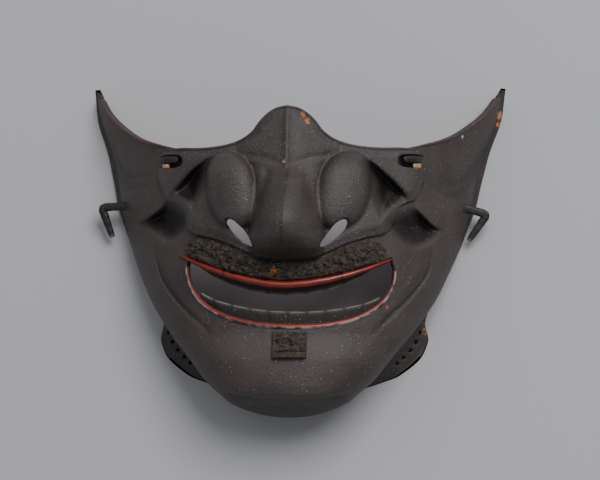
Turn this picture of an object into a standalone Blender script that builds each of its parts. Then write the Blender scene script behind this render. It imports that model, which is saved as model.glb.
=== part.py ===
"""Samurai face guard: a half mask of lacquered rawhide that lies on its back.

The face is shaped in its own frame: X runs across it, Y from the chin to the nose
bridge and Z out of it. That frame is tilted so that the cheek tips and the hem under
the chin rest on z = 0. Lengths are in metres.
"""

import math

import bmesh
import bpy
import numpy as np
from mathutils import Matrix, Vector

# Driving sizes
HALF_WIDTH = 0.100          # centre line to the tip of the cheek
HEIGHT = 0.1532             # chin to cheek tips
SHELL_DEPTH = 0.100         # cheek tips to the front of the chin, along the face's Z
REST_TILT = math.radians(18.3)  # between the face's Z and the upright when it lies
TIP_RISE = 0.0050           # the hem's point above the rim's end
WALL = 0.0026               # lacquered rawhide
NOSE_WALL = 0.0024
GAP = 0.0003                # between pieces that touch
LAP_GAP = 0.0009            # under the nose plate, whose facets differ from the shell's
TEETH_GAP = 0.0006          # between the shell's inner face and the teeth

# Mouth
MOUTH_HALF_WIDTH = 0.0473
MOUTH_CORNER_Y = -0.0085
MOUTH_DROP = 0.0270         # from the corners to the lowest point of the opening
MOUTH_TOP_Y = -0.0140       # top of the opening on the centre line
MOUTH_TOP_RISE = 0.0105     # how much higher the top edge is at the corners
UPPER_LIP_HEIGHT = 0.0040
LOWER_LIP_HEIGHT = 0.0022
LIP_DEPTH = 0.0044
TEETH_HALF_WIDTH = 0.0400
TEETH_WALL = 0.0022
TEETH_LAP = 0.0035          # hidden behind the shell's edge
UPPER_TEETH_SHOW = 0.0072
LOWER_TEETH_SHOW = 0.0075

# Nose
NOSE_HEIGHT = 0.0245        # nose tip above the shell's own curve
NOSTRIL_WING_HEIGHT = 0.0115
NOSTRIL_WING_X = 0.255 * HALF_WIDTH
NOSTRIL_WING_Y = 0.0260
NOSTRIL_WING_RADIUS_X = 0.115 * HALF_WIDTH
NOSTRIL_WING_RADIUS_Y = 0.0175
NOSTRIL_LENGTH = 0.0170
NOSTRIL_WIDTH = 0.0046
NOSTRIL_X = 0.205 * HALF_WIDTH
NOSTRIL_Y = 0.0062
NOSTRIL_LEAN = math.radians(47)

# Cheeks
HOLLOW_DEPTH = 0.0068       # scoop under the cheekbone edge
NOSE_HOLLOW_DEPTH = 0.0055  # its continuation beside the nose
EDGE_DROP = 0.0080          # distance in which the crisp edge falls to full depth
HOLLOW_RUN = 0.0085         # distance in which the scoop rises again

# Fasteners
SLOT_X = 0.548 * HALF_WIDTH
SLOT_Y = 0.0392
SLOT_LENGTH = 0.0110
SLOT_WIDTH = 0.0064
LUG_LENGTH = 0.0080
LUG_WIDTH = 0.0031
LUG_PROUD = 0.0016          # above the nose strap
WEDGE_LENGTH = 0.0036
WEDGE_WIDTH = 0.0022
HOOK_BAR = 0.0042
HOOK_Z = 0.300 * SHELL_DEPTH
HOOK_ROOT_X = 0.745 * HALF_WIDTH
HOOK_ROOT_Y = 0.0200
HOOK_LEG = 0.0150
LACE_HOLE = 0.0022
LACE_PITCH = 0.0048
LACE_HOLES = 5
LACE_START = 0.262          # share of the height where the row of holes starts

# Beds for hair
BED_WALL = 0.0012
TUFT_WIDTH = 0.0155
TUFT_HEIGHT = 0.0115
TUFT_WALL = 0.0026
TUFT_TOP_Y = -0.0375

# Mesh density
COLUMNS = 52
FACE_ROWS = 20
WALL_ROWS = 3
HEM_ROWS = 4

CHIN_Y = -HEIGHT / 2
OUTLINE_HEIGHT = HEIGHT - TIP_RISE
CHIN_POWER = 0.465          # how the outline opens from the chin
OUTLINE_PITCH = 1.7         # spreads the columns evenly along the outline

# Sections across the face, from the chin up.
# height share, fullness of the half width, front depth share, side depth share
SECTIONS = np.array((
    (0.000, 1.140, 0.800, 0.800),
    (0.014, 1.138, 0.835, 0.795),
    (0.038, 1.135, 0.890, 0.785),
    (0.070, 1.075, 0.965, 0.765),
    (0.105, 1.062, 0.985, 0.735),
    (0.173, 1.030, 0.975, 0.685),
    (0.267, 1.058, 0.930, 0.600),
    (0.355, 1.073, 0.925, 0.505),
    (0.449, 1.060, 0.935, 0.420),
    (0.537, 1.041, 0.915, 0.345),
    (0.584, 1.026, 0.900, 0.310),
    (0.652, 1.010, 0.875, 0.265),
    (0.733, 0.986, 0.855, 0.210),
    (0.834, 0.973, 0.830, 0.155),
    (0.922, 0.979, 0.815, 0.115),
    (1.000, 0.970, 0.800, 0.080)))
CHIN_DEPTH = SHELL_DEPTH * SECTIONS[0][2]

# Roundness of those sections: height share, power at the front, power at the side
ROUNDNESS = np.array((
    (0.00, 2.2, 1.9),
    (0.17, 2.3, 1.9),
    (0.35, 2.3, 1.5),
    (0.55, 2.1, 1.3),
    (1.00, 2.0, 1.2)))

# The wall behind the outline and its hem, from the chin to the cheek tip. Depths are
# measured forward from the plane that the mask rests on.
# height share, inset of the throat line, its depth, flare of the hem, depth of its edge
WALLS = np.array((
    (0.000, 0.070, 0.120, 0.030, -0.010),
    (0.050, 0.065, 0.120, 0.050, -0.010),
    (0.080, 0.055, 0.115, 0.065, -0.010),
    (0.110, 0.045, 0.110, 0.086, -0.010),
    (0.150, 0.035, 0.100, 0.120, -0.010),
    (0.210, 0.028, 0.100, 0.136, -0.010),
    (0.255, 0.024, 0.090, 0.108, 0.000),
    (0.290, 0.018, 0.090, 0.034, 0.030),
    (0.340, 0.012, 0.080, 0.006, 0.040),
    (0.430, 0.006, 0.070, 0.006, 0.040),
    (0.540, 0.003, 0.065, 0.012, 0.035),
    (0.650, 0.000, 0.055, 0.024, 0.025),
    (0.780, 0.000, 0.045, 0.027, 0.015),
    (0.910, 0.000, 0.040, 0.027, 0.005),
    (1.000, 0.000, 0.035, 0.025, -0.010)))

# The cord hooks: side, name, reach from the centre, Y of the elbow, lean of the leg
HOOKS = (
    (-1, "left_hook", 0.920, 0.247, math.radians(20)),
    (1, "right_hook", 0.900, 0.202, math.radians(35)))

# Top rim of the shell: half width share, share of the height above the middle
RIM = np.array((
    (0.000, 0.575),
    (0.440, 0.575),
    (0.520, 0.592),
    (0.600, 0.614),
    (0.726, 0.664),
    (0.850, 0.768),
    (0.905, 0.838),
    (0.950, 0.920)))
RIM_END = RIM[-1][0]

# Nose from bridge to base: Y share of the half height, height share, half width, power
NOSE = np.array((
    (-0.085, 0.000, 0.150, 2.4),
    (-0.040, 0.300, 0.160, 2.4),
    (0.015, 0.620, 0.170, 2.3),
    (0.080, 0.880, 0.170, 2.2),
    (0.170, 1.000, 0.165, 2.0),
    (0.270, 0.900, 0.160, 1.9),
    (0.390, 0.620, 0.158, 1.7),
    (0.475, 0.370, 0.175, 1.2),
    (0.530, 0.345, 0.215, 1.0),
    (0.650, 0.320, 0.240, 1.0),
    (0.830, 0.290, 0.240, 1.0)))
NOSE_FLANK = 0.72           # below 1 makes the sides of the nose full

# Outlines on one half of the face: half width share, half height share.
# The crisp lower edge of the cheekbone, from beside the nose to the cheek
CHEEKBONE = ((0.290, 0.560), (0.360, 0.525), (0.435, 0.457), (0.485, 0.388),
             (0.540, 0.320), (0.560, 0.277), (0.605, 0.240), (0.655, 0.176),
             (0.705, 0.131))
CHEEKBONE_SPLIT = 5         # point where the nose plate ends on that edge
# The rest of the scoop beside the nose, and of the scoop in the cheek
NOSE_SCOOP = ((0.500, 0.245), (0.460, 0.195), (0.425, 0.215), (0.395, 0.275),
              (0.370, 0.350), (0.350, 0.430), (0.315, 0.500))
CHEEK_SCOOP = ((0.740, 0.115), (0.700, 0.065), (0.650, 0.030), (0.600, 0.000),
               (0.540, 0.010), (0.490, 0.075), (0.470, 0.155), (0.485, 0.220),
               (0.520, 0.255))
# Nose plate: its rim and strap end, then its lower edge back to the centre
PLATE = ((0.000, 0.826), (0.045, 0.815), (0.085, 0.785), (0.120, 0.740),
         (0.155, 0.680), (0.205, 0.634), (0.270, 0.605), (0.340, 0.591),
         (0.410, 0.587), (0.500, 0.591), (0.560, 0.586), (0.588, 0.560),
         (0.602, 0.500), (0.602, 0.420), (0.582, 0.350), (0.560, 0.282),
         (0.505, 0.258), (0.475, 0.212), (0.465, 0.150), (0.430, 0.085),
         (0.340, 0.056), (0.260, 0.022), (0.187, -0.022), (0.115, -0.058),
         (0.000, -0.073))
# Opening in the shell under the nose plate, open at the top
APERTURE = ((0.400, 0.720), (0.400, 0.545), (0.455, 0.475), (0.510, 0.400),
            (0.545, 0.355), (0.542, 0.300), (0.505, 0.270), (0.462, 0.230), (0.440, 0.190),
            (0.430, 0.140), (0.395, 0.108), (0.300, 0.080), (0.225, 0.045),
            (0.150, 0.005), (0.080, -0.025), (0.000, -0.035))
# Upper edge of the moustache bed, from the centre out
BED_TOP = np.array((
    (0.000, -0.084), (0.115, -0.069), (0.187, -0.033), (0.260, 0.010),
    (0.340, 0.044), (0.410, 0.052), (0.465, -0.010)))
BED_HALF_WIDTH = 0.0455

# Base colour, roughness, metallic
FINISHES = {
    "russet_lacquer": ((0.030, 0.024, 0.023), 0.46, 0.0),
    "red_lacquer": ((0.150, 0.010, 0.005), 0.30, 0.0),
    "tooth_lacquer": ((0.028, 0.026, 0.022), 0.45, 0.0),
    "hair_residue": ((0.016, 0.013, 0.010), 0.90, 0.0),
    "black_iron": ((0.035, 0.035, 0.036), 0.50, 0.8),
    "pale_wood": ((0.480, 0.270, 0.110), 0.70, 0.0)}


# Curves and distances

def through(at, stations, values):
    """Monotone cubic through the rows of a table."""
    steps = np.diff(stations)
    slopes = np.diff(values) / steps
    tangents = np.zeros(len(values))
    tangents[0], tangents[-1] = slopes[0], slopes[-1]
    before, after = slopes[:-1], slopes[1:]
    smooth = before * after > 0
    tangents[1:-1][smooth] = (2 * before * after)[smooth] / (before + after)[smooth]
    at = np.clip(np.asarray(at, dtype=float), stations[0], stations[-1])
    row = np.clip(np.searchsorted(stations, at) - 1, 0, len(steps) - 1)
    t = (at - stations[row]) / steps[row]
    return ((2 * t ** 3 - 3 * t ** 2 + 1) * values[row]
            + (t ** 3 - 2 * t ** 2 + t) * steps[row] * tangents[row]
            + (3 * t ** 2 - 2 * t ** 3) * values[row + 1]
            + (t ** 3 - t ** 2) * steps[row] * tangents[row + 1])


def ramp(value):
    """Smooth step from 0 to 1."""
    t = np.clip(value, 0.0, 1.0)
    return t * t * (3 - 2 * t)


def scaled(outline):
    """An outline given in shares, in metres."""
    return [(x * HALF_WIDTH, y * HEIGHT / 2) for x, y in outline]


def distance(path, x, y):
    """Distance from points to a polyline."""
    nearest = np.full(np.shape(x), np.inf)
    for (ax, ay), (bx, by) in zip(path[:-1], path[1:]):
        along = ((x - ax) * (bx - ax) + (y - ay) * (by - ay)) / ((bx - ax) ** 2 + (by - ay) ** 2)
        along = np.clip(along, 0.0, 1.0)
        gap = np.hypot(x - ax - along * (bx - ax), y - ay - along * (by - ay))
        nearest = np.minimum(nearest, gap)
    return nearest


def inside(outline, x, y):
    """Whether points lie inside a closed outline."""
    result = np.zeros(np.shape(x), dtype=bool)
    for (ax, ay), (bx, by) in zip(outline, outline[1:] + outline[:1]):
        crosses = (ay > y) != (by > y)
        with np.errstate(divide="ignore", invalid="ignore"):
            at = ax + (y - ay) * (bx - ax) / (by - ay if by != ay else np.inf)
        result ^= crosses & (x < at)
    return result


# The skin: height of the shell's outer face above the floor

def half_width(share):
    """Half width of the outline at a share of its height."""
    return HALF_WIDTH * share ** CHIN_POWER * through(share, SECTIONS[:, 0], SECTIONS[:, 1])


def scoop(x, y, crisp, rest, depth):
    """A hollow that drops fast below its crisp edge and rises slowly to the rest."""
    outline = crisp + rest
    soft = [crisp[-1]] + rest + [crisp[0]]
    drop = ramp(distance(crisp, x, y) / EDGE_DROP)
    rise = ramp(distance(soft, x, y) / HOLLOW_RUN)
    return np.where(inside(outline, x, y), depth * drop * rise, 0.0)


def skin(x, y):
    """Height of the shell's outer face, without the nose."""
    x, y = np.abs(np.asarray(x, dtype=float)), np.asarray(y, dtype=float)
    share = np.clip((y - CHIN_Y) / OUTLINE_HEIGHT, 1e-6, 1.0)
    across = np.clip(x / half_width(share), 0.0, 1.0)
    front = SHELL_DEPTH * through(share, SECTIONS[:, 0], SECTIONS[:, 2])
    side = SHELL_DEPTH * through(share, SECTIONS[:, 0], SECTIONS[:, 3])
    front_power = through(share, ROUNDNESS[:, 0], ROUNDNESS[:, 1])
    side_power = through(share, ROUNDNESS[:, 0], ROUNDNESS[:, 2])
    height = side + (front - side) * (1 - across ** front_power) ** (1 / side_power)
    bone = scaled(CHEEKBONE)
    height -= scoop(x, y, bone[:CHEEKBONE_SPLIT + 1], scaled(NOSE_SCOOP), NOSE_HOLLOW_DEPTH)
    height -= scoop(x, y, bone[CHEEKBONE_SPLIT:], scaled(CHEEK_SCOOP), HOLLOW_DEPTH)
    return height


def skin_normal(x, y):
    """Outward direction of the skin."""
    step = 0.0005
    slope_x = (skin(x + step, y) - skin(x - step, y)) / (2 * step)
    slope_y = (skin(x, y + step) - skin(x, y - step)) / (2 * step)
    normal = np.stack([-slope_x, -slope_y, np.ones_like(slope_x)], axis=-1)
    return normal / np.linalg.norm(normal, axis=-1, keepdims=True)


def raised(x, y, lift):
    """Points at a distance from the skin, along its normal."""
    base = np.stack([x, y, skin(x, y)], axis=-1)
    return base + skin_normal(x, y) * np.asarray(lift)[..., None]


def nose_relief(x, y):
    """How far the nose stands out of the skin."""
    x = np.abs(x)
    level = y / (HEIGHT / 2)
    stations = NOSE[:, 0]
    height = NOSE_HEIGHT * through(level, stations, NOSE[:, 1])
    width = HALF_WIDTH * through(level, stations, NOSE[:, 2])
    power = through(level, stations, NOSE[:, 3])
    body = height * (1 - np.clip(x / width, 0.0, 1.0) ** power) ** NOSE_FLANK
    reach = (((x - NOSTRIL_WING_X) / NOSTRIL_WING_RADIUS_X) ** 2
             + ((y - NOSTRIL_WING_Y) / NOSTRIL_WING_RADIUS_Y) ** 2)
    wing = NOSTRIL_WING_HEIGHT * np.clip(1 - reach, 0.0, 1.0) ** 0.6
    return (body ** 3 + wing ** 3) ** (1 / 3)


def outline_point(u):
    """Point on the outline of the face, u from -1 at one cheek tip to 1 at the other."""
    share = np.abs(u) ** OUTLINE_PITCH
    return np.sign(u) * half_width(share), CHIN_Y + OUTLINE_HEIGHT * share


def rest_plane(y):
    """Height in the face's frame of the plane that the mask rests on."""
    return (HEIGHT / 2 - y) * math.tan(REST_TILT)


def shell_points(u, v):
    """Shell skin: v is 0 at the top rim, 1 at the outline, 2 at the throat line, 3 at the hem."""
    share = np.abs(u) ** OUTLINE_PITCH
    edge_x, edge_y = outline_point(u)
    step = 0.002
    ahead_x, ahead_y = outline_point(np.clip(u + step, -1, 1))
    behind_x, behind_y = outline_point(np.clip(u - step, -1, 1))
    run = np.hypot(ahead_x - behind_x, ahead_y - behind_y)
    out_x, out_y = (ahead_y - behind_y) / run, -(ahead_x - behind_x) / run
    rim_x = HALF_WIDTH * RIM_END * u
    rim_y = HEIGHT / 2 * through(np.abs(u) * RIM_END, RIM[:, 0], RIM[:, 1])

    face = 1 - (1 - np.clip(v, 0, 1)) ** 1.5
    x = rim_x + (edge_x - rim_x) * face
    y = rim_y + (edge_y - rim_y) * face
    z = skin(x, y)

    inset, throat, flare, edge = (through(share, WALLS[:, 0], WALLS[:, i]) for i in range(1, 5))
    wall = np.clip(v - 1, 0, 1)
    hem = np.clip(v - 2, 0, 1)
    out = HALF_WIDTH * (flare * hem ** 1.2 - inset * ramp(wall))
    x = x + out_x * out
    y = y + out_y * out + TIP_RISE * hem * ramp((share - 0.93) / 0.07)
    z = np.where(v > 1, z + (rest_plane(y) + SHELL_DEPTH * throat - z) * wall, z)
    z = np.where(v > 2, rest_plane(y) + SHELL_DEPTH * (throat + (edge - throat) * hem), z)
    return np.stack([x, y, z], axis=-1)


# Blender helpers

def collection(name):
    """A new collection in the scene."""
    result = bpy.data.collections.new(name)
    bpy.context.scene.collection.children.link(result)
    return result


def finish(name):
    """Material of one finish."""
    material = bpy.data.materials.get(name)
    if material is None:
        colour, roughness, metallic = FINISHES[name]
        material = bpy.data.materials.new(name)
        material.use_nodes = True
        shader = material.node_tree.nodes["Principled BSDF"]
        shader.inputs["Base Color"].default_value = (*colour, 1.0)
        shader.inputs["Roughness"].default_value = roughness
        shader.inputs["Metallic"].default_value = metallic
        material.diffuse_color = (*colour, 1.0)
    return material


def add(name, shape, home, material=None):
    """Put a bmesh into the scene as an object."""
    bmesh.ops.recalc_face_normals(shape, faces=shape.faces)
    mesh = bpy.data.meshes.new(name)
    shape.to_mesh(mesh)
    shape.free()
    result = bpy.data.objects.new(name, mesh)
    home.objects.link(result)
    result.parent = bpy.data.objects.get("face_frame")
    if material:
        mesh.materials.append(finish(material))
        mesh.shade_smooth()
        mesh.set_sharp_from_angle(angle=math.radians(40))
    return result


def sheet(points):
    """Open bmesh surface over an array of points."""
    rows, columns = points.shape[:2]
    shape = bmesh.new()
    bmesh.ops.create_grid(shape, x_segments=columns - 1, y_segments=rows - 1, size=1.0)
    shape.verts.ensure_lookup_table()
    for vert, place in zip(shape.verts, points.reshape(-1, 3)):
        vert.co = Vector(place)
    return shape


def thicken(piece, wall, outward):
    """Give a sheet its wall."""
    solid = piece.modifiers.new("Wall", "SOLIDIFY")
    solid.thickness = wall
    solid.offset = 1.0 if outward else -1.0
    solid.use_even_offset = True


def upright(piece):
    """Turn a sheet's faces towards +Z, so that outward is known."""
    mesh = piece.data
    if sum(face.normal.z * face.area for face in mesh.polygons) < 0:
        mesh.flip_normals()


def prism(name, outline, home, low=-0.01, high=0.15):
    """Cutter of a closed outline, drawn along Z."""
    shape = bmesh.new()
    verts = [shape.verts.new((x, y, low)) for x, y in outline]
    face = shape.faces.new(verts)
    raised_part = bmesh.ops.extrude_face_region(shape, geom=[face])
    moved = [item for item in raised_part["geom"] if isinstance(item, bmesh.types.BMVert)]
    bmesh.ops.translate(shape, verts=moved, vec=(0, 0, high - low))
    return as_cutter(add(name, shape, home))


def as_cutter(piece):
    """Hide a cutter."""
    piece.hide_render = True
    piece.display_type = "WIRE"
    return piece


def cut(piece, cutter, operation="DIFFERENCE"):
    """Exact Boolean of a piece with a cutter."""
    boolean = piece.modifiers.new(cutter.name, "BOOLEAN")
    boolean.operation = operation
    boolean.object = cutter
    boolean.solver = "EXACT"


def both_sides(half):
    """Closed outline from the points of its right half, centre first and last."""
    left = [(-x, y) for x, y in reversed(half) if x > 0]
    return list(half) + left


def block(name, size, frame, home, material=None, bevel=0.0):
    """Box in a given frame."""
    shape = bmesh.new()
    bmesh.ops.create_cube(shape, size=1.0)
    bmesh.ops.scale(shape, vec=size, verts=shape.verts)
    piece = add(name, shape, home, material)
    piece.matrix_basis = frame
    if bevel:
        rounding = piece.modifiers.new("Rounding", "BEVEL")
        rounding.width = bevel
        rounding.segments = 2
    return piece


def sweep(name, path, half_sizes, home, material, sides=8):
    """Bar of rounded section along a path, with its own half height and depth at each point."""
    shape = bmesh.new()
    rings = []
    path = [Vector(point) for point in path]
    for i, point in enumerate(path):
        along = (path[min(i + 1, len(path) - 1)] - path[max(i - 1, 0)]).normalized()
        side = along.cross(Vector((0, 0, 1))).normalized()
        up = side.cross(along).normalized()
        half_height, half_depth = half_sizes[i]
        ring = []
        for k in range(sides):
            turn = 2 * math.pi * (k + 0.5) / sides
            place = point + side * half_height * math.cos(turn) + up * half_depth * math.sin(turn)
            ring.append(shape.verts.new(place))
        rings.append(ring)
    for first, second in zip(rings[:-1], rings[1:]):
        for k in range(sides):
            nxt = (k + 1) % sides
            shape.faces.new((first[k], first[nxt], second[nxt], second[k]))
    shape.faces.new(rings[0])
    shape.faces.new(rings[-1])
    return add(name, shape, home, material)


def skin_frame(x, y, lift):
    """Frame on the skin: Z along its normal, X as close to the face's X as it can be."""
    at = raised(np.array(x), np.array(y), np.array(lift))
    up = Vector(skin_normal(np.array(x), np.array(y)))
    across = Vector((0, 1, 0)).cross(up).normalized()
    along = up.cross(across)
    frame = Matrix((across, along, up)).transposed().to_4x4()
    frame.translation = Vector(at)
    return frame


# Outlines of the mouth

def mouth_top(x):
    """Upper edge of the mouth opening."""
    return MOUTH_TOP_Y + MOUTH_TOP_RISE * (np.abs(x) / MOUTH_HALF_WIDTH) ** 1.7


def mouth_bottom(turn):
    """Lower edge of the opening, turn from 0 at the right corner to pi at the left."""
    power = 2 / 2.4
    x = MOUTH_HALF_WIDTH * np.sign(np.cos(turn)) * np.abs(np.cos(turn)) ** power
    return x, MOUTH_CORNER_Y - MOUTH_DROP * np.abs(np.sin(turn)) ** power


def mouth_floor(x):
    """Lower edge of the opening as a height over x."""
    level = 1 - (np.clip(np.abs(x) / MOUTH_HALF_WIDTH, 0, 1)) ** 2.4
    return MOUTH_CORNER_Y - MOUTH_DROP * level ** (1 / 2.4)


# Pieces

def face_shell(parts, cutters):
    """Cheeks, jaw and chin in one formed hide, with its hem and openings."""
    rows = [np.linspace(0, 1, FACE_ROWS + 1), np.linspace(1, 2, WALL_ROWS + 1)[1:],
            np.linspace(2, 3, HEM_ROWS + 1)[1:]]
    v, u = np.meshgrid(np.concatenate(rows), np.linspace(-1, 1, COLUMNS + 1), indexing="ij")
    shell = add("face_shell", sheet(shell_points(u, v)), parts, "russet_lacquer")
    upright(shell)
    thicken(shell, WALL, outward=False)

    turns = np.linspace(0, math.pi, 25)
    lower = [tuple(float(c) for c in mouth_bottom(turn)) for turn in turns]
    across = np.linspace(-MOUTH_HALF_WIDTH, MOUTH_HALF_WIDTH, 17)
    upper = [(float(x), float(mouth_top(x))) for x in across]
    cut(shell, prism("mouth_cutter", lower + upper, cutters))
    cut(shell, prism("nose_cutter", both_sides(scaled(APERTURE)[::-1]), cutters))
    floor = block("floor_cutter", (4 * HALF_WIDTH, 3 * HEIGHT, 0.02),
                  Matrix.Translation((0, 0, -0.01)), cutters)
    floor.parent = None
    cut(shell, as_cutter(floor))
    for side in (-1, 1):
        for hole in lace_holes(side, cutters):
            cut(shell, hole)
    for hook in HOOKS:
        cut(shell, hook_cutter(hook, cutters))
    return shell


def lace_holes(side, cutters):
    """Cutters for the row of lacing holes in the hem."""
    start_u = LACE_START ** (1 / OUTLINE_PITCH)
    length = HALF_WIDTH * 1.9
    holes = []
    for i in range(LACE_HOLES):
        u = np.array(side * (start_u - i * LACE_PITCH / length))
        low, here, high = (Vector(shell_points(u, np.array(v))) for v in (2.5, 2.6, 2.7))
        ahead = Vector(shell_points(u + 0.01, np.array(2.6)))
        normal = (high - low).cross(ahead - here).normalized()
        shape = bmesh.new()
        bmesh.ops.create_cone(shape, cap_ends=True, segments=8, radius1=LACE_HOLE / 2,
                              radius2=LACE_HOLE / 2, depth=4 * WALL)
        name = f"lace_cutter_{'left' if side < 0 else 'right'}_{i + 1}"
        hole = as_cutter(add(name, shape, cutters))
        turn = Vector((0, 0, 1)).rotation_difference(normal).to_matrix().to_4x4()
        hole.matrix_basis = Matrix.Translation(here) @ turn
        holes.append(hole)
    return holes


def hook_path(hook):
    """Route of a cord hook: shank through the shell, elbow, leg."""
    side, _, reach, level, lean = hook
    root = Vector((side * HOOK_ROOT_X, HOOK_ROOT_Y, 1.1 * HOOK_Z))
    elbow = Vector((side * reach * HALF_WIDTH, level * HEIGHT / 2, HOOK_Z))
    leg = Vector((-side * math.sin(lean), -math.cos(lean), 0)) * HOOK_LEG
    corner = (elbow - root).normalized() * HOOK_BAR * 0.3
    return [root, elbow - corner, elbow + leg * 0.08, elbow + leg]


def hook_cutter(hook, cutters):
    """Hole that the hook's shank passes through."""
    root, elbow = hook_path(hook)[:2]
    half = HOOK_BAR / 2 + GAP
    start = root - (elbow - root).normalized() * HOOK_BAR
    return as_cutter(sweep(f"{hook[1]}_cutter", [start, elbow], [(half, half)] * 2, cutters, None))


def hooks(parts):
    """The two iron cord hooks."""
    half = HOOK_BAR / 2
    sizes = [(half, half), (half, half), (half, half), (half * 0.72, half * 0.72)]
    for hook in HOOKS:
        sweep(hook[1], hook_path(hook), sizes, parts, "black_iron")


def plate_relief_points(x, y, lift):
    """Points of the nose plate's inner face."""
    points = raised(x, y, np.full(np.shape(x), lift))
    points[..., 2] += nose_relief(x, y)
    return points


def nose_plate(parts, cutters):
    """Nose with its two side straps."""
    half = HALF_WIDTH * np.concatenate([np.linspace(0, 0.45, 13),
                                        np.linspace(0.45, 0.66, 5)[1:]])
    across = np.concatenate([-half[:0:-1], half])
    down = np.linspace(0.067, -0.009, 26)
    y, x = np.meshgrid(down, across, indexing="ij")
    plate = add("nose_plate", sheet(plate_relief_points(x, y, LAP_GAP)), parts, "russet_lacquer")
    upright(plate)
    thicken(plate, NOSE_WALL, outward=True)
    cut(plate, prism("plate_cutter", both_sides(scaled(PLATE)), cutters), "INTERSECT")
    for side in (-1, 1):
        word = "left" if side < 0 else "right"
        slot = block(f"slot_cutter_{word}", (SLOT_LENGTH, SLOT_WIDTH, 0.03),
                     skin_frame(side * SLOT_X, SLOT_Y, 0.0), cutters, bevel=0.0)
        cut(plate, as_cutter(slot))
        cut(plate, nostril_cutter(side, word, cutters))
    return plate


def nostril_cutter(side, word, cutters):
    """Slanting almond between the nose tip and its wing."""
    outline = []
    for k in range(16):
        turn = 2 * math.pi * k / 16
        along = NOSTRIL_LENGTH / 2 * math.cos(turn)
        thick = NOSTRIL_WIDTH / 2 * math.sin(turn) * (1 - 0.25 * math.cos(turn))
        x = NOSTRIL_X - along * math.cos(NOSTRIL_LEAN) + thick * math.sin(NOSTRIL_LEAN)
        y = NOSTRIL_Y - along * math.sin(NOSTRIL_LEAN) - thick * math.cos(NOSTRIL_LEAN)
        outline.append((side * x, y))
    return prism(f"nostril_cutter_{word}", outline, cutters, low=0.05)


def lips(parts):
    """Built-up lacquer beads on the edges of the mouth."""
    across = np.linspace(-MOUTH_HALF_WIDTH, MOUTH_HALF_WIDTH, 25)
    path, sizes = [], []
    for x in across * 0.985:
        half = UPPER_LIP_HEIGHT / 2 * (1 - 0.62 * (x / MOUTH_HALF_WIDTH) ** 2)
        y = mouth_top(x) - GAP - half * 1.08
        path.append((x, y, skin(x, y) - WALL * 0.35))
        sizes.append((half, LIP_DEPTH / 2 * (0.6 + 0.4 * half / (UPPER_LIP_HEIGHT / 2))))
    sweep("upper_lip", path, sizes, parts, "red_lacquer")

    half = LOWER_LIP_HEIGHT / 2
    path, sizes = [], []
    for turn in np.linspace(math.radians(9), math.radians(171), 31):
        x, y = mouth_bottom(turn)
        step_x, step_y = mouth_bottom(turn + 0.01)
        run = math.hypot(step_x - x, step_y - y)
        inward_x, inward_y = (step_y - y) / run, -(step_x - x) / run
        x, y = x + inward_x * (half + GAP) * 1.1, y + inward_y * (half + GAP) * 1.1
        path.append((x, y, skin(x, y) - WALL * 0.4))
        sizes.append((half, LIP_DEPTH / 2 * 0.8))
    sweep("lower_lip", path, sizes, parts, "red_lacquer")


def patch(name, across, low, high, lift, wall, outward, parts, material, rows=3):
    """Strip that follows the skin between two heights over x."""
    share, x = np.meshgrid(np.linspace(0, 1, rows + 1), across, indexing="ij")
    y = low(x) + (high(x) - low(x)) * share
    piece = add(name, sheet(raised(x, y, np.full(x.shape, lift))), parts, material)
    upright(piece)
    thicken(piece, wall, outward)
    return piece


def teeth(parts):
    """Curved strips behind the opening, seated on the shell's inner face."""
    across = np.linspace(-TEETH_HALF_WIDTH, TEETH_HALF_WIDTH, 21)
    lift = -(WALL + TEETH_GAP)

    def shown(x, size):
        return size * (1 - 0.45 * (x / TEETH_HALF_WIDTH) ** 2)

    patch("upper_teeth", across, lambda x: mouth_top(x) - shown(x, UPPER_TEETH_SHOW),
          lambda x: mouth_top(x) + TEETH_LAP, lift, TEETH_WALL, False, parts, "tooth_lacquer")
    across = across * 0.95
    patch("lower_teeth", across, lambda x: mouth_floor(x) - TEETH_LAP,
          lambda x: mouth_floor(x) + shown(x, LOWER_TEETH_SHOW), lift, TEETH_WALL, False, parts,
          "tooth_lacquer")


def beds(parts):
    """Rough beds where the moustache and the chin tuft were set."""
    across = np.linspace(-BED_HALF_WIDTH, BED_HALF_WIDTH, 25)

    def top(x):
        return HEIGHT / 2 * through(np.abs(x) / HALF_WIDTH, BED_TOP[:, 0], BED_TOP[:, 1])

    patch("moustache_bed", across, lambda x: mouth_top(x) + GAP * 2, top, GAP * 1.5,
          BED_WALL, True, parts, "hair_residue")
    across = np.linspace(-TUFT_WIDTH / 2, TUFT_WIDTH / 2, 7)
    patch("chin_tuft_bed", across, lambda x: 0 * x + TUFT_TOP_Y - TUFT_HEIGHT,
          lambda x: 0 * x + TUFT_TOP_Y, GAP * 1.5, TUFT_WALL, True, parts, "hair_residue", rows=5)


def lugs(parts):
    """Iron lugs through the slots, each with a pale wedge under it."""
    for side, word in ((-1, "left"), (1, "right")):
        height = LAP_GAP + NOSE_WALL + LUG_PROUD
        frame = skin_frame(side * (SLOT_X + 0.0006), SLOT_Y + SLOT_WIDTH * 0.17, 0.0)
        seat = Matrix.Translation((0, 0, GAP + height / 2))
        block(f"{word}_lug", (LUG_LENGTH, LUG_WIDTH, height), frame @ seat, parts,
              "black_iron", bevel=0.0008)
        offset = Matrix.Translation((side * (LUG_LENGTH - WEDGE_LENGTH) / 2,
                                     -(LUG_WIDTH + WEDGE_WIDTH) / 2 - GAP,
                                     GAP + height * 0.4))
        block(f"{word}_wedge", (WEDGE_LENGTH, WEDGE_WIDTH, height * 0.8), frame @ offset,
              parts, "pale_wood", bevel=0.0003)


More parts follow.
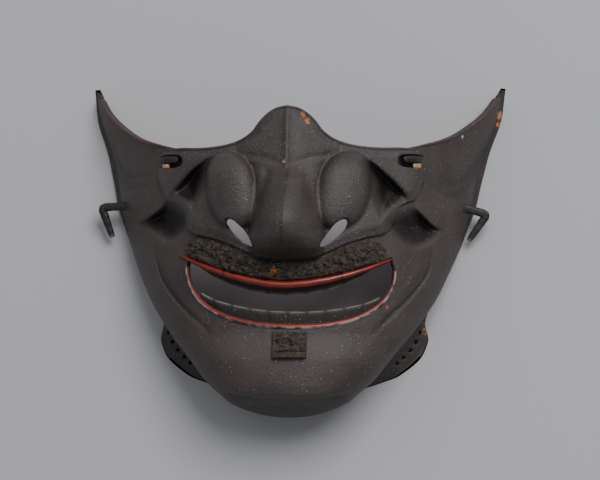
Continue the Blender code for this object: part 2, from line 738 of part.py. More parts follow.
def main():
    """Build the face guard."""
    for item in list(bpy.data.objects):
        bpy.data.objects.remove(item)
    parts = collection("samurai_face_guard")
    cutters = collection("cutters")
    face = bpy.data.objects.new("face_frame", None)
    face.rotation_euler.x = REST_TILT
    face.location = (0, CHIN_DEPTH * math.sin(REST_TILT) / 2, -HEIGHT / 2 * math.sin(REST_TILT))
    parts.objects.link(face)
    face_shell(parts, cutters)
    nose_plate(parts, cutters)
    lips(parts)
    teeth(parts)
    beds(parts)
    hooks(parts)
    lugs(parts)


main()
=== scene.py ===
"""Looks of the samurai face guard: lacquered hide, cracked red lips with painted shade and a
painted highlight, hair crust and iron.

Shapes are worked out in the face's own frame, as in the part: X runs across the face, Y
from the chin to the nose bridge and Z out of it. Rest turns them into the frame in which
the mask lies on its back. Lengths are in metres.
"""

import logging
import math
from dataclasses import dataclass, field
from enum import Enum
from typing import Callable, Optional, Sequence

import bmesh
import bpy
import numpy as np
from mathutils import Matrix, Vector, noise

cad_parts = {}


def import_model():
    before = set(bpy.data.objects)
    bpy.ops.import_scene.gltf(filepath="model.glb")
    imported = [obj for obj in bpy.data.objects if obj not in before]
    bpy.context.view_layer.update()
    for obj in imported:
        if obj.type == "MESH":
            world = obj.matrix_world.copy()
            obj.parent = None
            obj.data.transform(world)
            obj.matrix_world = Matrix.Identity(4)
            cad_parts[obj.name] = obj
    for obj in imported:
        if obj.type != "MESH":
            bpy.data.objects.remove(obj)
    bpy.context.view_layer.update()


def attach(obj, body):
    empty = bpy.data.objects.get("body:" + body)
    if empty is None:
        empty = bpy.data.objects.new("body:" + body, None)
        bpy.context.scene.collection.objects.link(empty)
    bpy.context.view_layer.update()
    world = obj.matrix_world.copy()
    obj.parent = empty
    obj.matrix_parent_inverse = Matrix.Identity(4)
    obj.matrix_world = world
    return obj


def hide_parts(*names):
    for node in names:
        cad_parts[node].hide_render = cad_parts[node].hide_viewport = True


LOG = logging.getLogger("face_guard")
Points = Sequence[tuple[float, float]]
BODY = "root"

# Tables of the form, all in shares of its half width, half height, height or depth.
# height share, fullness of the half width, front depth, side depth
SECTIONS = np.array((
    (0.000, 1.140, 0.800, 0.800), (0.014, 1.138, 0.835, 0.795), (0.038, 1.135, 0.890, 0.785),
    (0.070, 1.075, 0.965, 0.765), (0.105, 1.062, 0.985, 0.735), (0.173, 1.030, 0.975, 0.685),
    (0.267, 1.058, 0.930, 0.600), (0.355, 1.073, 0.925, 0.505), (0.449, 1.060, 0.935, 0.420),
    (0.537, 1.041, 0.915, 0.345), (0.584, 1.026, 0.900, 0.310), (0.652, 1.010, 0.875, 0.265),
    (0.733, 0.986, 0.855, 0.210), (0.834, 0.973, 0.830, 0.155), (0.922, 0.979, 0.815, 0.115),
    (1.000, 0.970, 0.800, 0.080)))
# height share, power of the roundness at the front, power at the side
ROUNDNESS = np.array((
    (0.00, 2.2, 1.9), (0.17, 2.3, 1.9), (0.35, 2.3, 1.5), (0.55, 2.1, 1.3), (1.00, 2.0, 1.2)))
# height share, inset of the throat line, its depth, flare of the hem, depth of its edge
WALLS = np.array((
    (0.000, 0.070, 0.120, 0.030, -0.010), (0.050, 0.065, 0.120, 0.050, -0.010),
    (0.080, 0.055, 0.115, 0.065, -0.010), (0.110, 0.045, 0.110, 0.086, -0.010),
    (0.150, 0.035, 0.100, 0.120, -0.010), (0.210, 0.028, 0.100, 0.136, -0.010),
    (0.255, 0.024, 0.090, 0.108, 0.000), (0.290, 0.018, 0.090, 0.034, 0.030),
    (0.340, 0.012, 0.080, 0.006, 0.040), (0.430, 0.006, 0.070, 0.006, 0.040),
    (0.540, 0.003, 0.065, 0.012, 0.035), (0.650, 0.000, 0.055, 0.024, 0.025),
    (0.780, 0.000, 0.045, 0.027, 0.015), (0.910, 0.000, 0.040, 0.027, 0.005),
    (1.000, 0.000, 0.035, 0.025, -0.010)))
# Top rim: half width share, share of the height above the middle
RIM = np.array((
    (0.000, 0.575), (0.440, 0.575), (0.520, 0.592), (0.600, 0.614), (0.726, 0.664),
    (0.850, 0.768), (0.905, 0.838), (0.950, 0.920)))
# Nose from base to bridge: Y share of the half height, height share, half width, power
NOSE = np.array((
    (-0.085, 0.000, 0.150, 2.4), (-0.040, 0.300, 0.160, 2.4), (0.015, 0.620, 0.170, 2.3),
    (0.080, 0.880, 0.170, 2.2), (0.170, 1.000, 0.165, 2.0), (0.270, 0.900, 0.160, 1.9),
    (0.390, 0.620, 0.158, 1.7), (0.475, 0.370, 0.175, 1.2), (0.530, 0.345, 0.215, 1.0),
    (0.650, 0.320, 0.240, 1.0), (0.830, 0.290, 0.240, 1.0)))
# Nose plate: its rim, its strap end and its lower edge
PLATE_RIM = ((0.000, 0.826), (0.045, 0.815), (0.085, 0.785), (0.120, 0.740), (0.155, 0.680),
             (0.205, 0.634), (0.270, 0.605), (0.340, 0.591), (0.410, 0.587), (0.500, 0.591),
             (0.560, 0.586))
PLATE_END = ((0.560, 0.586), (0.588, 0.560), (0.602, 0.500), (0.602, 0.420), (0.582, 0.350),
             (0.560, 0.282))
PLATE_FOOT = ((0.560, 0.282), (0.505, 0.258), (0.475, 0.212), (0.465, 0.150), (0.430, 0.085),
              (0.340, 0.056), (0.260, 0.022), (0.187, -0.022), (0.115, -0.058), (0.000, -0.073))
# Opening in the shell under the nose plate
APERTURE = ((0.400, 0.720), (0.400, 0.545), (0.455, 0.475), (0.510, 0.400), (0.545, 0.355),
            (0.542, 0.300), (0.505, 0.270), (0.462, 0.230), (0.440, 0.190), (0.430, 0.140),
            (0.395, 0.108), (0.300, 0.080), (0.225, 0.045), (0.150, 0.005), (0.080, -0.025),
            (0.000, -0.035))
# Upper edge of the moustache bed
BED_TOP = np.array((
    (0.000, -0.084), (0.115, -0.069), (0.187, -0.033), (0.260, 0.010), (0.340, 0.044),
    (0.410, 0.052), (0.465, -0.010)))


class Side(Enum):
    """Side of the face as the viewer sees it."""

    LEFT = -1
    RIGHT = 1


class Section(Enum):
    """Cross section of a swept bar."""

    ROUND = 2.0
    SQUARED = 3.6


# Curves

def through(at: np.ndarray, stations: np.ndarray, values: np.ndarray) -> np.ndarray:
    """Monotone cubic through the rows of a table.

    Args:
        at: Where the curve is wanted.
        stations: Rising positions of the rows.
        values: Value of each row.

    Returns:
        The curve's values.
    """
    steps = np.diff(stations)
    slopes = np.diff(values) / steps
    tangents = np.zeros(len(values))
    tangents[0], tangents[-1] = slopes[0], slopes[-1]
    before, after = slopes[:-1], slopes[1:]
    smooth = before * after > 0
    tangents[1:-1][smooth] = (2 * before * after)[smooth] / (before + after)[smooth]
    at = np.clip(np.asarray(at, dtype=float), stations[0], stations[-1])
    row = np.clip(np.searchsorted(stations, at) - 1, 0, len(steps) - 1)
    t = (at - stations[row]) / steps[row]
    return ((2 * t ** 3 - 3 * t ** 2 + 1) * values[row]
            + (t ** 3 - 2 * t ** 2 + t) * steps[row] * tangents[row]
            + (3 * t ** 2 - 2 * t ** 3) * values[row + 1]
            + (t ** 3 - t ** 2) * steps[row] * tangents[row + 1])


def ramp(value: np.ndarray) -> np.ndarray:
    """Smooth step from 0 to 1.

    Args:
        value: Position, clipped to the step.

    Returns:
        Height of the step there.
    """
    t = np.clip(value, 0.0, 1.0)
    return t * t * (3 - 2 * t)


def spline(points: Points, per_span: int = 6) -> list[tuple[float, float]]:
    """Smooth curve through points.

    Args:
        points: Points in order.
        per_span: Steps between two of them.

    Returns:
        The finer points, the first and last ones kept.
    """
    table = np.asarray(points, dtype=float)
    padded = np.vstack([2 * table[0] - table[1], table, 2 * table[-1] - table[-2]])
    steps = np.linspace(0, 1, per_span, endpoint=False)[:, None]
    result = []
    for a, b, c, d in zip(padded[:-3], padded[1:-2], padded[2:-1], padded[3:]):
        result.append(0.5 * (2 * b + (c - a) * steps + (2 * a - 5 * b + 4 * c - d) * steps ** 2
                             + (3 * b - a - 3 * c + d) * steps ** 3))
    fine = np.vstack(result + [table[-1:]])
    return [tuple(map(float, point)) for point in fine]


def distance(path: Points, x: np.ndarray, y: np.ndarray) -> np.ndarray:
    """Distance from points to a polyline.

    Args:
        path: Points of the polyline.
        x: First coordinates.
        y: Second coordinates.

    Returns:
        Distances, in the shape of x.
    """
    nearest = np.full(np.shape(x), np.inf)
    for (ax, ay), (bx, by) in zip(path[:-1], path[1:]):
        run = max((bx - ax) ** 2 + (by - ay) ** 2, 1e-18)
        along = np.clip(((x - ax) * (bx - ax) + (y - ay) * (by - ay)) / run, 0.0, 1.0)
        nearest = np.minimum(nearest, np.hypot(x - ax - along * (bx - ax),
                                               y - ay - along * (by - ay)))
    return nearest


def nearest(path: Points, x: np.ndarray, y: np.ndarray) -> tuple[np.ndarray, np.ndarray]:
    """Closest points of a closed outline.

    Args:
        path: Corners in order.
        x: First coordinates.
        y: Second coordinates.

    Returns:
        X and Y of the closest points.
    """
    best = np.full(x.shape, np.inf)
    at_x, at_y = x.copy(), y.copy()
    for (ax, ay), (bx, by) in zip(path, list(path[1:]) + [path[0]]):
        run = max((bx - ax) ** 2 + (by - ay) ** 2, 1e-18)
        along = np.clip(((x - ax) * (bx - ax) + (y - ay) * (by - ay)) / run, 0.0, 1.0)
        px, py = ax + along * (bx - ax), ay + along * (by - ay)
        away = np.hypot(x - px, y - py)
        closer = away < best
        best = np.where(closer, away, best)
        at_x, at_y = np.where(closer, px, at_x), np.where(closer, py, at_y)
    return at_x, at_y


def inside(outline: Points, x: np.ndarray, y: np.ndarray) -> np.ndarray:
    """Whether points lie inside a closed outline.

    Args:
        outline: Corners in order.
        x: First coordinates.
        y: Second coordinates.

    Returns:
        True where a point is inside.
    """
    result = np.zeros(np.shape(x), dtype=bool)
    for (ax, ay), (bx, by) in zip(outline, list(outline[1:]) + [outline[0]]):
        crosses = (ay > y) != (by > y)
        rise = by - ay if by != ay else np.inf
        result ^= crosses & (x < ax + (y - ay) * (bx - ax) / rise)
    return result


def roughly(points: np.ndarray, scale: float, octaves: int = 4, seed: float = 0.0) -> np.ndarray:
    """Fractal noise at points.

    Args:
        points: Array whose last axis is X, Y and Z.
        scale: Size of the largest lumps.
        octaves: Levels of finer lumps.
        seed: Shift that gives another pattern.

    Returns:
        Noise from about -1 to 1, in the shape of the leading axes.
    """
    flat = points.reshape(-1, 3) / scale + seed
    values = [noise.fractal(Vector(point), 0.8, 2.1, octaves) for point in flat]
    return np.array(values).reshape(points.shape[:-1])


@dataclass(frozen=True)
class PhotoView:
    """The photograph's camera in the face's frame.

    Attributes:
        target: Point of the face in the middle of the picture.
        turn: Angle of the view to the face's Z, about its Y.
        reach: Distance from camera to target.
        focal: Focal length in pixels.
        width: Picture width in pixels.
        height: Picture height in pixels.
    """

    target: tuple[float, float, float] = (0.0033, 0.00355, 0.050)
    turn: float = math.radians(3.5)
    reach: float = 1.100
    focal: float = 2376.0
    width: int = 600
    height: int = 480

    def onto(self, height_at: Callable, pixels: Points) -> list[tuple[float, float]]:
        """Find where pixels fall on a surface.

        Args:
            height_at: Gives the surface's Z over X and Y.
            pixels: Points in the picture.

        Returns:
            X and Y of each on the surface.
        """
        u, v = np.asarray(pixels, dtype=float).T
        tx, ty, tz = self.target
        z = np.full(u.shape, tz)
        for _ in range(6):
            scale = self.focal / (self.reach - (z - tz))
            x = tx + (u - self.width / 2) / scale + math.tan(self.turn) * (z - tz)
            y = ty + (self.height / 2 - v) / scale
            z = height_at(x, y)
        return [(float(a), float(b)) for a, b in zip(x, y)]


PHOTO = PhotoView()


@dataclass(frozen=True)
class Hollow:
    """Scoop under a crisp edge, drawn over the photograph.

    Attributes:
        crisp: Pixels along the crisp edge.
        soft: Pixels along the rest of its border, from the crisp edge's end to its start.
        depth: How far it sinks.
        drop: Distance in which it falls away from the crisp edge.
        run: Distance in which it rises again.
    """

    crisp: Points
    soft: Points
    depth: float
    drop: float = 0.0022
    run: float = 0.0085


@dataclass(frozen=True)
class Fold:
    """Groove or ridge along a line drawn over the photograph.

    Attributes:
        line: Pixels along it.
        lift: Height of the ridge, or below zero the depth of the groove.
        spread: Half width.
    """

    line: Points
    lift: float
    spread: float


HOLLOWS = (
    Hollow(((222, 151.5), (207.6, 158.6), (192.2, 170.8), (182, 182), (169, 197)),
           ((178, 203), (187.6, 209), (192, 216), (199, 207), (205, 195), (209, 182),
            (213, 169), (219, 158)), 0.0085, run=0.0100),
    Hollow(((349, 153.5), (365.8, 158.9), (378.6, 167.8), (395.3, 183), (404.5, 193.3),
            (410.5, 203)),
           ((400, 208), (389.4, 214.3), (381, 222), (374, 211), (369, 198), (366, 185),
            (360, 170), (353, 159)), 0.0085, run=0.0100),
    Hollow(((169, 197), (159.6, 208.6), (149.4, 216.7), (141.2, 220.8), (132, 222.5)),
           ((137, 228), (147.4, 235), (156, 241), (166, 246), (178, 243), (188.7, 231.2),
            (191.7, 222), (190.2, 212.8), (181.8, 203.7)), 0.0095, run=0.0110),
    Hollow(((410.5, 203), (420, 213), (430, 223.6), (438.4, 228.1), (449, 231.5)),
           ((440, 240), (428, 248), (415, 252), (403, 249), (392, 240), (383, 230),
            (383, 221), (389.4, 214.3)), 0.0095, run=0.0110))
FOLDS = (
    Fold(((112, 143), (116, 156), (122, 168), (130, 176), (140, 177.5), (148, 174)),
         -0.0011, 0.0017),
    Fold(((111, 156), (117, 171), (126, 183), (136, 188), (147, 185)), -0.0011, 0.0017),
    Fold(((486, 139), (480, 153), (472, 166), (462, 179), (451, 185), (440, 183)),
         -0.0011, 0.0017),
    Fold(((484, 150), (478, 165), (471, 179), (461, 191), (450, 196.5), (438, 190)),
         -0.0011, 0.0017),
    Fold(((154.4, 243), (156.3, 262), (162, 280), (171.4, 295), (184, 309), (198, 322),
          (208, 332)), -0.0012, 0.0012),
    Fold(((152, 243), (153.4, 262), (159, 281), (168.4, 297), (181, 311)), 0.0006, 0.0012),
    Fold(((161, 250), (163.9, 270.8), (171.4, 289.7), (181, 303)), -0.0008, 0.0011),
    Fold(((164, 252), (167, 270), (174, 287), (184, 300)), 0.0006, 0.0014),
    Fold(((430.5, 252), (428, 270.8), (418.6, 286.5), (405.4, 301.5), (390, 316),
          (374, 333)), -0.0012, 0.0012),
    Fold(((434, 252), (432, 270), (423, 287), (410, 303)), 0.0006, 0.0012),
    Fold(((422.4, 257), (421.4, 270.8), (413, 286), (401.6, 299)), -0.0008, 0.0011),
    Fold(((418, 258), (417, 270), (409, 284), (398, 297)), 0.0006, 0.0014),
    Fold(((226, 389), (239.3, 392), (266, 394.6), (292.6, 395.4), (326.8, 393.8),
          (347, 390)), 0.0006, 0.0016))
CHIN_EDGE = ((215, 388), (226, 390.3), (239.3, 393.3), (266, 395.8), (292.6, 396.6),
             (326.8, 394.8), (347, 391), (357, 388))
CHIN_STEP = 0.0016          # height of the step under that edge, and its run
CHIN_FADE = 0.010           # run in which it dies out at its ends
FOLD_FADE = 0.012           # run in which a fold dies out at its ends
FOLD_LEFT = 0.35            # what is left of it there
FULL_SHADE_DEPTH = 0.0014        # depth of a fold that gets all the painted shade and soot it can


@dataclass(frozen=True)
class NoseForm:
    """Body, wings and creases of the nose.

    Attributes:
        height: Nose tip above the shell's own curve.
        keeled: Taken off the table's powers, for a keel instead of a dome.
        body_power: Roundness of the body's top.
        wing: X and Y of a wing's middle.
        wing_lean: How far it leans outward for each metre up.
        wing_upright: Y where the lean starts.
        wing_reach: Half width and half height of a wing.
        wing_square: Squareness of its outline.
        wing_height: How far it stands out.
        wing_flat: Power that flattens its top.
        blend: Power by which body and wings join.
        crease: Line between body and wing.
        crease_cut: Depth and half width of that crease.
        keel: Height and half width of the line on the ridge.
        keel_rise: Y where that line starts and the run in which it grows.
        brow: Line where nose and brow meet.
        brow_cut: Depth and half width of that line.
    """

    height: float = 0.0245
    keeled: float = 0.35
    body_power: float = 0.72
    wing: tuple[float, float] = (0.0250, 0.0260)
    wing_lean: float = 0.16
    wing_upright: float = 0.0255
    wing_reach: tuple[float, float] = (0.0118, 0.0172)
    wing_square: float = 2.4
    wing_height: float = 0.0100
    wing_flat: float = 0.42
    blend: float = 4.0
    crease: Points = ((0.0085, 0.033), (0.0112, 0.022), (0.0128, 0.008))
    crease_cut: tuple[float, float] = (0.0016, 0.0022)
    keel: tuple[float, float] = (0.0004, 0.0016)
    keel_rise: tuple[float, float] = (0.004, 0.020)
    brow: Points = ((0.0, 0.0362), (0.006, 0.0385), (0.0115, 0.0405), (0.018, 0.0415))
    brow_cut: tuple[float, float] = (0.0005, 0.0016)


def cut(away: np.ndarray, size: tuple[float, float]) -> np.ndarray:
    """Soft groove or ridge by the distance from its line.

    Args:
        away: Distances from the line.
        size: Its height and half width.

    Returns:
        Heights.
    """
    return size[0] * np.exp(-(away / size[1]) ** 2)


@dataclass(frozen=True)
class FaceForm:
    """The mask's surface.

    Attributes:
        half_width: Centre line to the cheek tip.
        height: Chin to cheek tips.
        depth: Cheek tips to the front of the chin.
        tilt: Between the face's Z and the upright when it lies.
        tip_rise: The hem's point above the rim's end.
        wall: Lacquered hide.
        lap_gap: Under the nose plate.
        nose_form: Sizes of the nose.
        chin_power: How the outline opens from the chin.
        pitch: Spreads columns evenly along the outline.
    """

    half_width: float = 0.100
    height: float = 0.1532
    depth: float = 0.100
    tilt: float = math.radians(18.3)
    tip_rise: float = 0.0050
    wall: float = 0.0026
    lap_gap: float = 0.0009
    nose_form: NoseForm = NoseForm()
    chin_power: float = 0.465
    pitch: float = 1.7

    @property
    def rest(self) -> Matrix:
        """Turn and shift from the face's frame to the frame in which it lies."""
        chin_depth = self.depth * SECTIONS[0][2]
        shift = Vector((0, chin_depth * math.sin(self.tilt) / 2,
                        -self.height / 2 * math.sin(self.tilt)))
        return Matrix.Translation(shift) @ Matrix.Rotation(self.tilt, 4, "X")

    def scaled(self, outline: Points) -> list[tuple[float, float]]:
        """Turn an outline from shares to metres.

        Args:
            outline: Shares of the half width and half height.

        Returns:
            The same points in metres.
        """
        return [(x * self.half_width, y * self.height / 2) for x, y in outline]

    def half(self, share: np.ndarray) -> np.ndarray:
        """Half width of the outline at a share of its height.

        Args:
            share: Share of the height, from the chin.

        Returns:
            Half widths.
        """
        return self.half_width * share ** self.chin_power * through(
            share, SECTIONS[:, 0], SECTIONS[:, 1])

    def smooth_skin(self, x: np.ndarray, y: np.ndarray) -> np.ndarray:
        """Height of the outer face without scoops, folds and nose.

        Args:
            x: Across the face.
            y: Up the face.

        Returns:
            Heights.
        """
        outline_height = self.height - self.tip_rise
        share = np.clip((np.asarray(y, dtype=float) + self.height / 2) / outline_height,
                        1e-6, 1.0)
        across = np.clip(np.abs(x) / self.half(share), 0.0, 1.0)
        front = self.depth * through(share, SECTIONS[:, 0], SECTIONS[:, 2])
        side = self.depth * through(share, SECTIONS[:, 0], SECTIONS[:, 3])
        front_power = through(share, ROUNDNESS[:, 0], ROUNDNESS[:, 1])
        side_power = through(share, ROUNDNESS[:, 0], ROUNDNESS[:, 2])
        return side + (front - side) * (1 - across ** front_power) ** (1 / side_power)

    def hollows(self, x: np.ndarray, y: np.ndarray) -> tuple[np.ndarray, np.ndarray]:
        """Scoops in the skin.

        Args:
            x: Across the face.
            y: Up the face.

        Returns:
            Their depth, and how much of its own full depth each point has.
        """
        depth, share = np.zeros(np.shape(x)), np.zeros(np.shape(x))
        for hollow in HOLLOWS:
            crisp = spline(PHOTO.onto(self.smooth_skin, hollow.crisp))
            soft = spline(PHOTO.onto(self.smooth_skin,
                                     (hollow.crisp[-1], *hollow.soft, hollow.crisp[0])))
            drop = ramp(0.5 + 0.5 * distance(crisp, x, y) / hollow.drop) * 2 - 1
            rise = ramp(distance(soft, x, y) / hollow.run)
            within = np.where(inside(crisp + soft[1:-1], x, y), drop * rise, 0.0)
            depth += hollow.depth * within
            share = np.maximum(share, within)
        return depth, share

    def folds(self, x: np.ndarray, y: np.ndarray) -> np.ndarray:
        """Grooves and ridges along lines.

        Args:
            x: Across the face.
            y: Up the face.

        Returns:
            How far the skin stands out or sinks in.
        """
        result = np.zeros(np.shape(x))
        for fold in FOLDS:
            line = spline(PHOTO.onto(self.smooth_skin, fold.line))
            away = distance(line, x, y) / fold.spread
            ends = np.minimum(np.hypot(x - line[0][0], y - line[0][1]),
                              np.hypot(x - line[-1][0], y - line[-1][1]))
            fade = FOLD_LEFT + (1 - FOLD_LEFT) * ramp(ends / FOLD_FADE)
            result += fold.lift * fade * np.exp(-away ** 2)
        return result

    def under_chin(self, x: np.ndarray, y: np.ndarray) -> np.ndarray:
        """Share of the step under the chin's crisp edge.

        Args:
            x: Across the face.
            y: Up the face.

        Returns:
            0 above the edge, 1 below it, fading towards the jaw.
        """
        line = np.array(sorted(PHOTO.onto(self.smooth_skin, CHIN_EDGE)))
        edge = np.interp(x, line[:, 0], line[:, 1])
        ends = np.minimum(x - line[0][0], line[-1][0] - x)
        return ramp((edge - y) / CHIN_STEP) * ramp(ends / CHIN_FADE)

    def relief(self, x: np.ndarray, y: np.ndarray) -> np.ndarray:
        """Scoops, folds and the chin's edge on the skin.

        Args:
            x: Across the face.
            y: Up the face.

        Returns:
            How far the skin stands above or below its smooth form.
        """
        chin = self.under_chin(x, y)
        return self.folds(x, y) - self.hollows(x, y)[0] - CHIN_STEP * chin

    def shade_and_soot(self, x: np.ndarray, y: np.ndarray) -> np.ndarray:
        """Where painted shade, with some soot, darkens the lacquer: in the scoops, the creases and
        under the chin's edge.

        Args:
            x: Across the face.
            y: Up the face.

        Returns:
            Shares from 0 to 1.
        """
        # Painted shade with soot: darkest in the scoops, in deep creases and under the chin's
        # edge.
        creases = 0.7 * np.clip(-self.folds(x, y) / FULL_SHADE_DEPTH, 0.0, 1.0)
        scoops = ramp(2.2 * self.hollows(x, y)[1])
        return np.maximum(np.maximum(scoops, creases), 0.75 * self.under_chin(x, y))

    def skin(self, x: np.ndarray, y: np.ndarray) -> np.ndarray:
        """Height of the outer face without the nose.

        Args:
            x: Across the face.
            y: Up the face.

        Returns:
            Heights.
        """
        return self.smooth_skin(x, y) + self.relief(x, y)

    def nose(self, x: np.ndarray, y: np.ndarray) -> np.ndarray:
        """How far the nose stands out of the skin.

        Args:
            x: Across the face.
            y: Up the face.

        Returns:
            Heights above the skin.
        """
        size = self.nose_form
        x = np.abs(x)
        level = y / (self.height / 2)
        width = self.half_width * through(level, NOSE[:, 0], NOSE[:, 2])
        power = through(level, NOSE[:, 0], NOSE[:, 3]) - size.keeled
        body = size.height * through(level, NOSE[:, 0], NOSE[:, 1])
        body = body * (1 - np.clip(x / width, 0.0, 1.0) ** power) ** size.body_power
        lean = (y - size.wing_upright) * size.wing_lean
        reach = (np.abs((x - size.wing[0] - lean) / size.wing_reach[0]) ** size.wing_square
                 + np.abs((y - size.wing[1]) / size.wing_reach[1]) ** size.wing_square)
        wing = size.wing_height * np.clip(1 - reach, 0.0, 1.0) ** size.wing_flat
        result = (body ** size.blend + wing ** size.blend) ** (1 / size.blend)
        start, run = size.keel_rise
        result += cut(x, size.keel) * ramp((y - start) / run)
        result -= cut(distance(size.crease, x, y), size.crease_cut)
        return result - cut(distance(spline(size.brow), x, y), size.brow_cut)


FORM = FaceForm()


@dataclass(frozen=True)
class MouthOpening:
    """Outline of the mouth, askew as the photograph shows it.

    Attributes:
        half_width: Half width.
        top_y: Top of the opening on its middle line.
        top_rise: How much higher its top edge is at the corners.
        top_power: How the top edge rises.
        corner_y: Height of the corners.
        drop: From the corners to the lowest point.
        fullness: Power of the lower edge's roundness.
        lip_shift: Where the middle of the upper edge lies.
        shift: Where the middle of the lower edge lies.
        tilt: Slope of the whole mouth.
    """

    half_width: float = 0.0473
    top_y: float = -0.0140
    top_rise: float = 0.0105
    top_power: float = 1.7
    corner_y: float = -0.0085
    drop: float = 0.0270
    fullness: float = 2.4
    lip_shift: float = -0.0017
    shift: float = 0.0008
    tilt: float = 0.020

    def top(self, x: np.ndarray) -> np.ndarray:
        """Upper edge.

        Args:
            x: Across the face.

        Returns:
            Y of the edge.
        """
        across = x - self.lip_shift
        rise = self.top_rise * (np.abs(across) / self.half_width) ** self.top_power
        return self.top_y + rise - self.tilt * across

    def bottom(self, turn: np.ndarray) -> tuple[np.ndarray, np.ndarray]:
        """Lower edge by angle.

        Args:
            turn: Angle from 0 at the right corner to pi at the left.

        Returns:
            X and Y of the edge.
        """
        power = 2 / self.fullness
        x = self.half_width * np.sign(np.cos(turn)) * np.abs(np.cos(turn)) ** power
        y = self.corner_y - self.drop * np.abs(np.sin(turn)) ** power - self.tilt * x
        return x + self.shift, y

    def floor(self, x: np.ndarray) -> np.ndarray:
        """Lower edge over X.

        Args:
            x: Across the face.

        Returns:
            Y of the edge.
        """
        across = x - self.shift
        level = 1 - np.clip(np.abs(across) / self.half_width, 0, 1) ** self.fullness
        return self.corner_y - self.drop * level ** (1 / self.fullness) - self.tilt * across


MOUTH = MouthOpening()


# Meshes

def normals(points: np.ndarray) -> np.ndarray:
    """Unit normals of a grid of points, away from the mask's inside.

    Args:
        points: Rows and columns of points.

    Returns:
        One normal for each point.
    """
    down, across = np.gradient(points, axis=0), np.gradient(points, axis=1)
    result = np.cross(down, across)
    result /= np.maximum(np.linalg.norm(result, axis=-1, keepdims=True), 1e-12)
    return result


def slab(name: str, outer: np.ndarray, inner: np.ndarray, keep: Optional[np.ndarray] = None,
         paint: Optional[dict[str, np.ndarray]] = None) -> bpy.types.Object:
    """Closed solid between two grids of points.

    Args:
        name: Name of the piece.
        outer: Points of the outer face.
        inner: Points of the inner face, in the same order.
        keep: Which cells to keep, all if left out.
        paint: Values for the points of the outer face, by attribute name.

    Returns:
        The piece. Its inner face has the second material.
    """
    rows, columns = outer.shape[:2]
    count = rows * columns
    index = np.arange(count).reshape(rows, columns)
    quads = np.stack([index[:-1, :-1], index[1:, :-1], index[1:, 1:], index[:-1, 1:]],
                     axis=-1).reshape(-1, 4)
    if keep is not None:
        quads = quads[keep.ravel()]
    start, end = quads.ravel(), np.roll(quads, -1, axis=1).ravel()
    border = ~np.isin(start * count + end, end * count + start)
    start, end = start[border], end[border]
    rim = np.stack([end, start, start + count, end + count], axis=-1)
    faces = np.concatenate([quads, quads[:, ::-1] + count, rim])
    used, faces = np.unique(faces, return_inverse=True)
    verts = np.concatenate([outer.reshape(-1, 3), inner.reshape(-1, 3)])[used]
    mesh = bpy.data.meshes.new(name)
    mesh.from_pydata(verts.tolist(), [], faces.reshape(-1, 4).tolist())
    mesh.polygons.foreach_set("material_index",
                              np.repeat([0, 1, 0], [len(quads), len(quads), len(rim)]))
    for key, values in (paint or {}).items():
        both = np.concatenate([values.ravel(), values.ravel()])[used]
        mesh.attributes.new(key, "FLOAT", "POINT").data.foreach_set(
            "value", both.astype(np.float32))
    return place(name, mesh)


def cell_middles(points: np.ndarray) -> np.ndarray:
    """Middles of a grid's cells.

    Args:
        points: Rows and columns of points.

    Returns:
        One point for each cell.
    """
    return (points[:-1, :-1] + points[1:, :-1] + points[1:, 1:] + points[:-1, 1:]) / 4


def seam(keep: np.ndarray) -> np.ndarray:
    """Grid points between cells that stay and cells that go.

    Args:
        keep: Which cells stay.

    Returns:
        True for those points.
    """
    stays = np.zeros((keep.shape[0] + 1, keep.shape[1] + 1), dtype=bool)
    goes = stays.copy()
    for i in (0, 1):
        for j in (0, 1):
            stays[i:i + keep.shape[0], j:j + keep.shape[1]] |= keep
            goes[i:i + keep.shape[0], j:j + keep.shape[1]] |= ~keep
    return stays & goes


def trim(x: np.ndarray, y: np.ndarray, outline: Points, within: np.ndarray,
         holds: bool = False) -> np.ndarray:
    """Open a grid along an outline, and bring its edge onto the outline.

    Args:
        x: Across the face, changed in place.
        y: Up the face, changed in place.
        outline: Closed outline.
        within: Cells that may go.
        holds: Keep what lies inside instead of what lies outside.

    Returns:
        Which cells stay.
    """
    middles = cell_middles(np.stack([x, y], axis=-1))
    taken = inside(outline, middles[..., 0], middles[..., 1]) ^ holds
    keep = ~(taken & within)
    edge = seam(keep)
    x[edge], y[edge] = nearest(outline, x[edge], y[edge])
    return keep


def place(name: str, mesh: bpy.types.Mesh) -> bpy.types.Object:
    """Link a mesh as an object, turned as the mask lies and kept above the floor.

    Args:
        name: Name of the piece.
        mesh: Mesh in the face's frame.

    Returns:
        The object.
    """
    mesh.transform(FORM.rest)
    for vert in mesh.vertices:
        vert.co.z = max(vert.co.z, 0.0)
    mesh.shade_smooth()
    piece = bpy.data.objects.new(name, mesh)
    bpy.context.scene.collection.objects.link(piece)
    return piece


def outward(mesh: bpy.types.Mesh) -> None:
    """Turn the faces of closed solids outward.

    Args:
        mesh: Mesh to mend.
    """
    shape = bmesh.new()
    shape.from_mesh(mesh)
    bmesh.ops.recalc_face_normals(shape, faces=shape.faces)
    shape.to_mesh(mesh)
    shape.free()


def both_sides(half: Points) -> list[tuple[float, float]]:
    """Closed outline from its right half.

    Args:
        half: Points from the centre line back to it.

    Returns:
        The whole outline.
    """
    return list(half) + [(-x, y) for x, y in reversed(half) if x > 1e-6]


